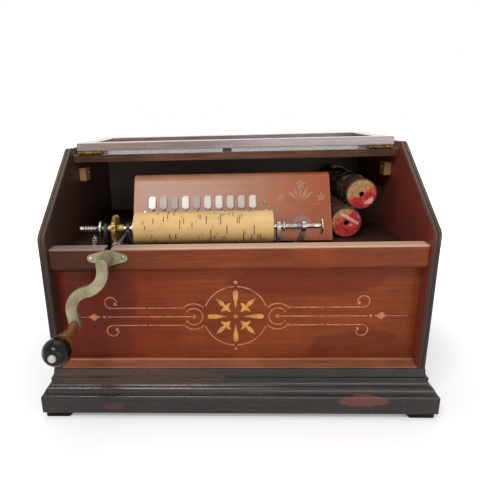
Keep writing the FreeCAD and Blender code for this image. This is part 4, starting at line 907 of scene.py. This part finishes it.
# The cob is a waxed maple roller. Its tune is set in brass pins and bridges: pins sound short
# notes, and bridges are staples bent round the roller that hold a note on.
MAPLE = [(0.25, "#BC985E"), (0.5, "#C6A36C"), (0.75, "#CEAD76")]
maple = polished_wood("waxed_maple_cob", MAPLE, "X", 5.0, (0.45, 0.6), 0.0, 0.2, 0.4)
dress("cob_body", maple, 0.5)
cob_low, cob_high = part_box("cob_body")
COB_RADIUS = (cob_high.z - cob_low.z) / 2
COB_MIDDLE = (cob_low + cob_high) / 2
TRACKS = 20
TRACK_PITCH = 7.4 * MM
CREEP = 2.3 * MM
PIN_WIDTH = 1.15 * MM
WIRE_WIDTH = 0.85 * MM
PIN_SWEEP = 2.0
PIN_GAP = 5.5
SUNK = 0.3 * MM
BRIDGE_SHARE = 0.42
BRIDGE_SWEEPS = (14, 20, 30, 46)
PINS_IN_A_RUN = (1, 1, 2, 3)
FIRST_WITHIN, LAST_AT = 160, 340
SHORTEST_REST, LONGEST_REST = 45, 230


def tune(bm, start, radius, seed):
    """Pins and bridges round the X axis, track by track, in the gaps and runs of a tune.

    Three turns of the tune lie side by side on each track, because the cob creeps as it turns.
    """
    draw = random.Random(seed)
    for track in range(TRACKS):
        for turn in range(3):
            x = start + TRACK_PITCH * track + (turn - 1) * CREEP
            angle = draw.uniform(0, FIRST_WITHIN)
            while angle < LAST_AT:
                long = draw.random() < BRIDGE_SHARE
                sweep = draw.choice(BRIDGE_SWEEPS) if long else PIN_SWEEP
                wide = WIRE_WIDTH if long else PIN_WIDTH
                for _ in range(1 if long else draw.choice(PINS_IN_A_RUN)):
                    corners = [
                        bm.verts.new((x + u * wide / 2, 0, radius - SUNK + w * WIRE_WIDTH))
                        for u, w in ((-1, 0), (1, 0), (1, 1), (-1, 1))
                    ]
                    face = bm.faces.new(corners)
                    spun = Matrix.Rotation(math.radians(angle), 4, "X")
                    bmesh.ops.transform(bm, matrix=spun, verts=corners)
                    bmesh.ops.spin(
                        bm,
                        geom=[face],
                        cent=(0, 0, 0),
                        axis=(1, 0, 0),
                        angle=math.radians(sweep),
                        steps=max(1, int(sweep / 6)),
                    )
                    angle += sweep + PIN_GAP
                angle += draw.uniform(SHORTEST_REST, LONGEST_REST)


dark_pins = aged_metal("oiled_brass_pins", [(0.35, "#3C280E"), (0.6, "#644618")], (0.5, 0.65), 0.2, 300)
pins = bmesh.new()
tune(pins, -108 * MM, COB_RADIUS, 7)
bmesh.ops.recalc_face_normals(pins, faces=pins.faces)
bmesh.ops.translate(pins, verts=pins.verts, vec=(0, COB_MIDDLE.y, COB_MIDDLE.z))
cob_tune = finish_piece("cob_tune", pins, dark_pins, "drive", "brass")
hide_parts("cob_pins")


# The note board is a varnished board with a rolled top edge. Its varnish has gone pink and
# chalky on the left, where the lid's light falls, and is still tawny on the right.
board_wood = polished_wood(
    "varnished_note_board",
    [(0.25, "#A67658"), (0.5, "#AE7C5E"), (0.75, "#B68464")],
    "X",
    6.0,
    (0.34, 0.5),
    0.15,
    0.3,
    0.6,
    shift=(0, 118, "#D8CABE", "#D29466"),
)
dress("key_cover", board_wood, 0.9, 3)
BOARD_FOOT = Vector((0, -40.45, 200.18)) * MM
BOARD_LEAN = math.radians(28.4)
board_place = Matrix.Translation(BOARD_FOOT) @ Matrix.Rotation(-BOARD_LEAN, 4, "X") @ upright


# The board carries a second stencil, faint and worn: a blossom over a fan of five leaves, a
# smaller blossom at each side, and a striped shell at its foot.
BLADE = [(0, 0), (5, 0.5), (11, 1.5), (16, 1.7), (20, 1.0), (22.5, 0)]
SPRAY_FOOT = (88.1, 52)
SHELL_FOOT = (88.4, 19)
spray = bmesh.new()
for angle in (42, 66, 90, 114, 138):
    leaf_of(spray, BLADE, SPRAY_FOOT, angle)
for middle, size in (((89, 76.5), 1.0), ((63.1, 58.6), 0.85), ((114.8, 58.6), 0.85)):
    bud = [(0.6, 0), (3.2 * size, 1.9 * size), (5.6 * size, 1.3 * size), (7.2 * size, 0)]
    for angle in range(18, 378, 72):
        leaf_of(spray, bud, middle, angle)
    dot_of(spray, middle, 1.1 * size)
for side in (1, -1):
    line_of(spray, (88.4 + side * 9, 47), (88.4 + side * 24, 49.5), 0.6)
leaf_paint = paint_material("faded_leaf_paint", "#8A5A42", "#A87256", 0.55)
lay_paint("board_stencil_leaves", spray, leaf_paint, board_place, "case", "case_wood")
shell = bmesh.new()
for index in range(9):
    shorter = abs(index - 4) * 0.4
    stripe = [(1, 0), (7, 0.8), (13, 1.35), (15.6 - shorter, 0.9), (16.4 - shorter, 0)]
    leaf_of(shell, stripe, SHELL_FOOT, 90 + (index - 4) * 15)
shell_paint = paint_material("faded_shell_paint", "#7E5C5C", "#936C62", 0.55)
lay_paint("board_stencil_shell", shell, shell_paint, board_place, "case", "case_wood")


# One round-headed screw holds the board at its middle. Its rim is dirty and its head is rubbed.
board_screw = bmesh.new()
profile = [(0, 1.3), (1.0, 1.2), (1.9, 0.8), (2.4, 0.15), (3.1, 0.15), (3.4, -0.4)]
rim = [board_screw.verts.new((x, 0, z)) for x, z in profile]
edges = [board_screw.edges.new(pair) for pair in zip(rim, rim[1:])]
bmesh.ops.spin(
    board_screw, geom=rim + edges, cent=(0, 0, 0), axis=(0, 0, 1), angle=math.tau, steps=28, use_merge=True
)
bmesh.ops.remove_doubles(board_screw, verts=board_screw.verts, dist=0.02)
bmesh.ops.recalc_face_normals(board_screw, faces=board_screw.faces)
SCREW_SPOT = (41.1, 51.7, 0)
screw_place = board_place @ Matrix.Scale(MM, 4) @ Matrix.Translation(SCREW_SPOT)
bmesh.ops.transform(board_screw, matrix=screw_place, verts=board_screw.verts)
finish_piece(
    "board_screw",
    board_screw,
    aged_metal("browned_screw_head", [(0.35, "#3A2418"), (0.6, "#9A7C64")], (0.3, 0.45), 0.5, 420),
    "case",
    "steel",
)


# Ten pallets of stamped nickel silver close the front ports. Each has been handled and dented in its own
# way, and no two are equally bright: their differing brightness is partly painted light, for each plate's
# slightly different tilt to the lamps.
# tones per plate: handling plus painted light for each plate's tilt
PLATE_TONES_AND_TILT_LIGHT = "#B2ABA8 #857B71 #7E716B #A8A098 #7C7067 #A0968F #A9A098 #9C9288 #968B82 #ACA299".split()
PLATE_HALF = 5.0
PLATE_HALF_TALL = 8.6
PLATE_DEPTH = 20
PLATE_MIDDLE_UP = 53.5
PLATE_FOOT_Z = 239.8


def nickel_plate_painted_shade(name, bright, x):
    """Stamped nickel silver: an even satin face, with painted shade on its right and lower rim and a
    painted shadow on the finger below the plate.
    """
    material, tree, shader = start_material(name, Metallic=0.35, Specular_IOR_Level=0.5)
    coords = add(tree, "TexCoord")
    centre = board_place @ (Vector((x, PLATE_MIDDLE_UP, 0)) * MM)
    away = add(tree, "VectorMath", {0: (coords, "Object"), 1: centre}, operation="SUBTRACT")
    shares = Vector([1 / (size * MM) for size in (PLATE_HALF, PLATE_DEPTH, PLATE_HALF_TALL)])
    shape = add(tree, "VectorMath", {0: away, 1: shares}, operation="MULTIPLY")
    parts = add(tree, "SeparateXYZ", {"Vector": shape})
    # painted shade along the plate's right and lower rim
    shaded_right_edge = add(tree, "MapRange", {"Value": (parts, "X"), "From Min": 0.62, "From Max": 1})
    below = add(tree, "MapRange", {"Value": (parts, "Z"), "From Min": -0.62, "From Max": -0.98})
    rim = add(tree, "Math", {0: shaded_right_edge, 1: below}, operation="MAXIMUM")
    skin = add(tree, "TexNoise", {"Vector": (coords, "Object"), "Scale": 90, "Detail": 3})
    cloud = add(
        tree,
        "MapRange",
        {"Value": (skin, "Fac"), "From Min": 0.3, "From Max": 0.7, "To Min": 0.85, "To Max": 1.1},
    )
    face = add(
        tree,
        "Mix",
        {"Factor_Float": 1, "A_Color": bright, "B_Color": cloud},
        data_type="RGBA",
        blend_type="MULTIPLY",
    )
    tone = add(tree, "Mix", {"Factor_Float": rim, "A_Color": face, "B_Color": "#5C5048"}, data_type="RGBA")
    # painted shadow under the plate, laid on its finger
    tone = before(tree, coords, tone, "Z", PLATE_FOOT_Z - 0.6, PLATE_FOOT_Z, "#35271F")
    feed(tree, tone, shader, "Base Color")
    gloss = add(
        tree,
        "MapRange",
        {"Value": (skin, "Fac"), "From Min": 0.3, "From Max": 0.7, "To Min": 0.38, "To Max": 0.52},
    )
    feed(tree, gloss, shader, "Roughness")
    return material


for index, bright in enumerate(PLATE_TONES_AND_TILT_LIGHT, start=1):
    name = f"front_key_{index:02d}"
    key_low, key_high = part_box(name)
    key_x = (key_low.x + key_high.x) / 2 / MM
    dress(name, nickel_plate_painted_shade(f"stamped_plate_{index:02d}", bright, key_x), 0.4)
REAR_PLATES = [(0.35, "#6E685E"), (0.6, "#A29C90")]
dress("rear_keys", aged_metal("stamped_plates_rear", REAR_PLATES, (0.35, 0.5), 0.6, 90), 0.25)


# Two spare cobs lie in the well. They are stained darker than the playing one, and their ends
# keep scraps of plain red paper over tan end grain.
DARK_MAPLE = [(0.25, "#221511"), (0.5, "#3C251C"), (0.75, "#5A3C2E")]
spare_maple = polished_wood("stained_maple_spare", DARK_MAPLE, "Y", rough=(0.5, 0.65), coat=0.05)
RAGGED = 9 * MM


def torn_paper(name, middle, torn, kept):
    """A round red paper, torn off the tan end grain. kept is how far it reaches past the middle."""
    material, tree, shader = start_material(name, Roughness=0.75, Specular_IOR_Level=0.2)
    coords = add(tree, "TexCoord")
    scraps = add(
        tree, "TexNoise", {"Vector": (coords, "Object"), "Scale": 95, "Detail": 5, "Roughness": 0.75}
    )
    red = add(
        tree,
        "ValToRGB",
        {"Fac": (scraps, "Fac")},
        stops=[(0.38, "#7E1E1C"), (0.52, "#B02E2C"), (0.62, "#C8504A"), (0.68, "#D8A090")],
    )
    grain = add(
        tree, "TexNoise", {"Vector": (coords, "Object"), "Scale": 240, "Detail": 4, "Roughness": 0.6}
    )
    tan = add(tree, "ValToRGB", {"Fac": (grain, "Fac")}, stops=[(0.35, "#8E6A3E"), (0.65, "#B48E5C")])
    away = add(tree, "VectorMath", {0: (coords, "Object"), 1: middle}, operation="SUBTRACT")
    along = add(tree, "VectorMath", {0: away, 1: torn}, operation="DOT_PRODUCT")
    ragged = add(
        tree,
        "MapRange",
        {
            "Value": (scraps, "Fac"),
            "From Min": 0.3,
            "From Max": 0.7,
            "To Min": kept - RAGGED,
            "To Max": kept + RAGGED,
        },
    )
    edge = add(tree, "Math", {0: (along, "Value"), 1: ragged}, operation="ADD")
    cover = add(tree, "MapRange", {"Value": edge, "From Min": -0.4 * MM, "From Max": 0.4 * MM})
    tone = add(tree, "Mix", {"Factor_Float": cover, "A_Color": tan, "B_Color": red}, data_type="RGBA")
    feed(tree, tone, shader, "Base Color")
    return material


SCRAPS = {
    "spare_cob_lower": ((-8.6, 10.4), (-6.2, 14.0), (16.6, 0.4), (15.2, -2.9)),
    "spare_cob_upper": ((3.9, -10.9), (14.6, -3.3), (15.6, -8.6), (13.2, -12.6), (4.7, -13)),
}
pale_paper = paint_material("pale_paper_scrap", "#D9A096", "#C07E74", 0.8)
TORN = {
    "spare_cob_lower": (Vector((0.3, 0, -0.4)), 5 * MM),
    "spare_cob_upper": (Vector((0.45, 0, -0.9)), 0),
}
DUSTY_BRASS = [(0.35, "#6A5E50"), (0.6, "#B4A898")]
spare_pin_brass = aged_metal("dusty_brass_pins", DUSTY_BRASS, (0.3, 0.5), 0.7, 300)
LABEL_RIM = 1.9 * MM
LABEL_HOLE = 3.4 * MM
PAPER = 0.25 * MM
SCRAP_LIFT = 0.27 * MM
PINS_SUNK = 0.25 * MM
quarter_turn = Matrix.Rotation(math.pi / 2, 3, "Z")
for seed, body in enumerate(("spare_lower", "spare_upper")):
    name = body.replace("spare", "spare_cob")
    dress(name, spare_maple, 1.0)
    low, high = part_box(name)
    middle = (low + high) / 2
    radius = (high.z - low.z) / 2
    spare_pins = bmesh.new()
    tune(spare_pins, -70 * MM, radius - PINS_SUNK, 21 + seed)
    bmesh.ops.rotate(spare_pins, verts=spare_pins.verts, cent=(0, 0, 0), matrix=quarter_turn)
    bmesh.ops.recalc_face_normals(spare_pins, faces=spare_pins.faces)
    bmesh.ops.translate(spare_pins, verts=spare_pins.verts, vec=middle)
    finish_piece(f"{name}_tune", spare_pins, spare_pin_brass, body, "brass")
    label = bmesh.new()
    bmesh.ops.create_circle(label, cap_ends=True, segments=48, radius=radius - LABEL_RIM)
    bmesh.ops.inset_region(
        label,
        faces=label.faces[:],
        thickness=radius - LABEL_RIM - LABEL_HOLE,
        depth=0,
        use_boundary=True,
        use_even_offset=True,
    )
    hole = min(label.faces, key=lambda f: f.calc_center_median().length + f.calc_area() * 10)
    bmesh.ops.delete(label, geom=[hole], context="FACES")
    raised = bmesh.ops.extrude_face_region(label, geom=label.faces[:], use_keep_orig=True)
    tops = verts_in(raised["geom"])
    bmesh.ops.translate(label, verts=tops, vec=(0, 0, PAPER))
    bmesh.ops.recalc_face_normals(label, faces=label.faces)
    face_on = Matrix.Translation((middle.x, low.y, middle.z)) @ upright
    bmesh.ops.transform(label, matrix=face_on, verts=label.verts)
    paper = torn_paper(f"torn_paper_{body}", middle, *TORN[name])
    finish_piece(f"{name}_label", label, paper, body, "spare_wood")
    scrap = bmesh.new()
    scrap.faces.new([scrap.verts.new((x, z, 0)) for x, z in SCRAPS[name]])
    scrap_place = Matrix.Translation((middle.x, low.y - SCRAP_LIFT, middle.z)) @ upright
    lay_paint(f"{name}_scrap", scrap, pale_paper, scrap_place, body, "spare_wood")


# The two bellows are closed by folded cloth, rubbed with rubber inside. It is glued to a fixed board and to
# a hinged one.
def rubbed_cloth():
    material, tree, shader = start_material("rubbered_cotton", Roughness=0.85, Sheen_Weight=0.2)
    coords = add(tree, "TexCoord")
    weave = add(tree, "TexNoise", {"Vector": (coords, "Object"), "Scale": 600, "Detail": 4})
    stops = [(0.4, "#3A2A22"), (0.6, "#584238")]
    tone = add(tree, "ValToRGB", {"Fac": (weave, "Fac")}, stops=stops)
    feed(tree, tone, shader, "Base Color")
    return material


cotton = rubbed_cloth()
FOLDS = 5
FOLD_DEPTH = 5 * MM


def folded_cloth(name, node):
    """A wedge of cloth whose sides are creased into folds between the two boards."""
    bm = copy_of(node)
    uprights = [e for e in bm.edges if abs((e.verts[0].co - e.verts[1].co).normalized().z) > 0.9]
    cut = bmesh.ops.subdivide_edges(bm, edges=uprights, cuts=2 * FOLDS - 1, use_grid_fill=True)
    low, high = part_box(node)
    middle = (low + high) / 2
    rungs = {}
    for vert in verts_in(cut["geom_inner"]):
        rungs.setdefault((round(vert.co.x, 5), round(vert.co.y, 5)), []).append(vert)
    for stack in rungs.values():
        for count, vert in enumerate(sorted(stack, key=lambda v: v.co.z)):
            if count % 2 == 0:
                inward = Vector((middle.x - vert.co.x, middle.y - vert.co.y, 0))
                vert.co += Vector([math.copysign(FOLD_DEPTH, part) if part else 0 for part in inward])
    piece = finish_piece(name, bm, cotton, None, "cloth")
    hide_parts(node)
    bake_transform(piece)


low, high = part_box("feeder_cloth")
folded_cloth("feeder_folds", "feeder_cloth")
low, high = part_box("reservoir_cloth")
folded_cloth("reservoir_folds", "reservoir_cloth")


# A pale floor runs out into a white studio, under soft light from above and in front.
def plain_stage(name, code):
    """A pale floor that keeps the shadow near the object and runs out to plain white."""
    material, tree, shader = start_material(name, Roughness=0.9, Specular_IOR_Level=0.1)
    shader.inputs["Base Color"].default_value = linear(code)
    coords = add(tree, "TexCoord")
    away = add(tree, "VectorMath", {0: (coords, "Object")}, operation="LENGTH")
    white = add(
        tree,
        "MapRange",
        {"Value": (away, "Value"), "From Min": 0.3, "From Max": 0.72, "To Min": 0.22, "To Max": 1},
        interpolation_type="SMOOTHSTEP",
    )
    path = add(tree, "LightPath")
    seen = add(tree, "Math", {0: (path, "Is Camera Ray"), 1: (path, "Is Glossy Ray")}, operation="MAXIMUM")
    shown = add(tree, "Math", {0: seen, 1: (path, "Is Transmission Ray")}, operation="MAXIMUM")
    glow = add(tree, "Math", {0: white, 1: shown}, operation="MULTIPLY")
    bright = add(tree, "Emission", {"Color": "#FFFFFF", "Strength": glow})
    both = add(tree, "AddShader", {0: shader, 1: bright})
    tree.links.new(both.outputs[0], tree.nodes["Material Output"].inputs["Surface"])
    return material


bpy.ops.mesh.primitive_plane_add(size=14)
floor = bpy.context.object
floor.name = "floor"
floor.data.materials.append(plain_stage("pale_floor", "#F0F0F0"))

world = bpy.data.worlds.new("studio")
bpy.context.scene.world = world
world.use_nodes = True
sky = world.node_tree
background = sky.nodes["Background"]
path = add(sky, "LightPath")
seen = add(sky, "Math", {0: (path, "Is Camera Ray"), 1: (path, "Is Glossy Ray")}, operation="MAXIMUM")
shown = add(sky, "Math", {0: seen, 1: (path, "Is Transmission Ray")}, operation="MAXIMUM")
AMBIENT = 0.42
strength = add(sky, "MapRange", {"Value": shown, "To Min": AMBIENT, "To Max": 1})
sky.links.new(strength.outputs[0], background.inputs["Strength"])
background.inputs["Color"].default_value = (1, 1, 1, 1)


def soft_box(name, place, aim, size, power):
    light = bpy.data.lights.new(name, "AREA")
    light.shape = "RECTANGLE"
    light.size, light.size_y = size
    light.energy = power
    lamp = bpy.data.objects.new(name, light)
    lamp.location = place
    lamp.rotation_euler = (Vector(aim) - Vector(place)).to_track_quat("-Z", "Y").to_euler()
    bpy.context.scene.collection.objects.link(lamp)


soft_box("key_light", (-0.5, -1.5, 1.9), (0, 0, 0.15), (1.0, 0.5), 27)
soft_box("fill_light", (0.7, -1.9, 0.5), (0, 0, 0.2), (1.4, 0.8), 11)
soft_box("top_light", (0.0, 0.3, 2.2), (0, 0, 0.2), (1.4, 1.4), 12)

# The camera stands where the photograph was taken, a little left of the middle and above.
EYE = Vector((-10.0, -614.2, 360.4)) * MM
YAW, PITCH, ROLL = (math.radians(angle) for angle in (-2.744, 16.991, 1.468))
camera = bpy.data.cameras.new("camera")
camera.sensor_width = 36
camera.lens = 34.265
camera.shift_x = 0.0712
camera.shift_y = 0.0271
camera.clip_start = 0.01
forward = Vector((math.sin(YAW) * math.cos(PITCH), math.cos(YAW) * math.cos(PITCH), -math.sin(PITCH)))
right = Vector((math.cos(YAW), -math.sin(YAW), 0))
down = forward.cross(right)
level_x = right * math.cos(ROLL) + down * math.sin(ROLL)
level_down = down * math.cos(ROLL) - right * math.sin(ROLL)
turn = Matrix((level_x, -level_down, -forward)).transposed()
eye = bpy.data.objects.new("camera", camera)
eye.matrix_world = Matrix.Translation(EYE) @ turn.to_4x4()
bpy.context.scene.collection.objects.link(eye)
bpy.context.scene.camera = eye
bpy.context.scene.view_settings.view_transform = "Standard"
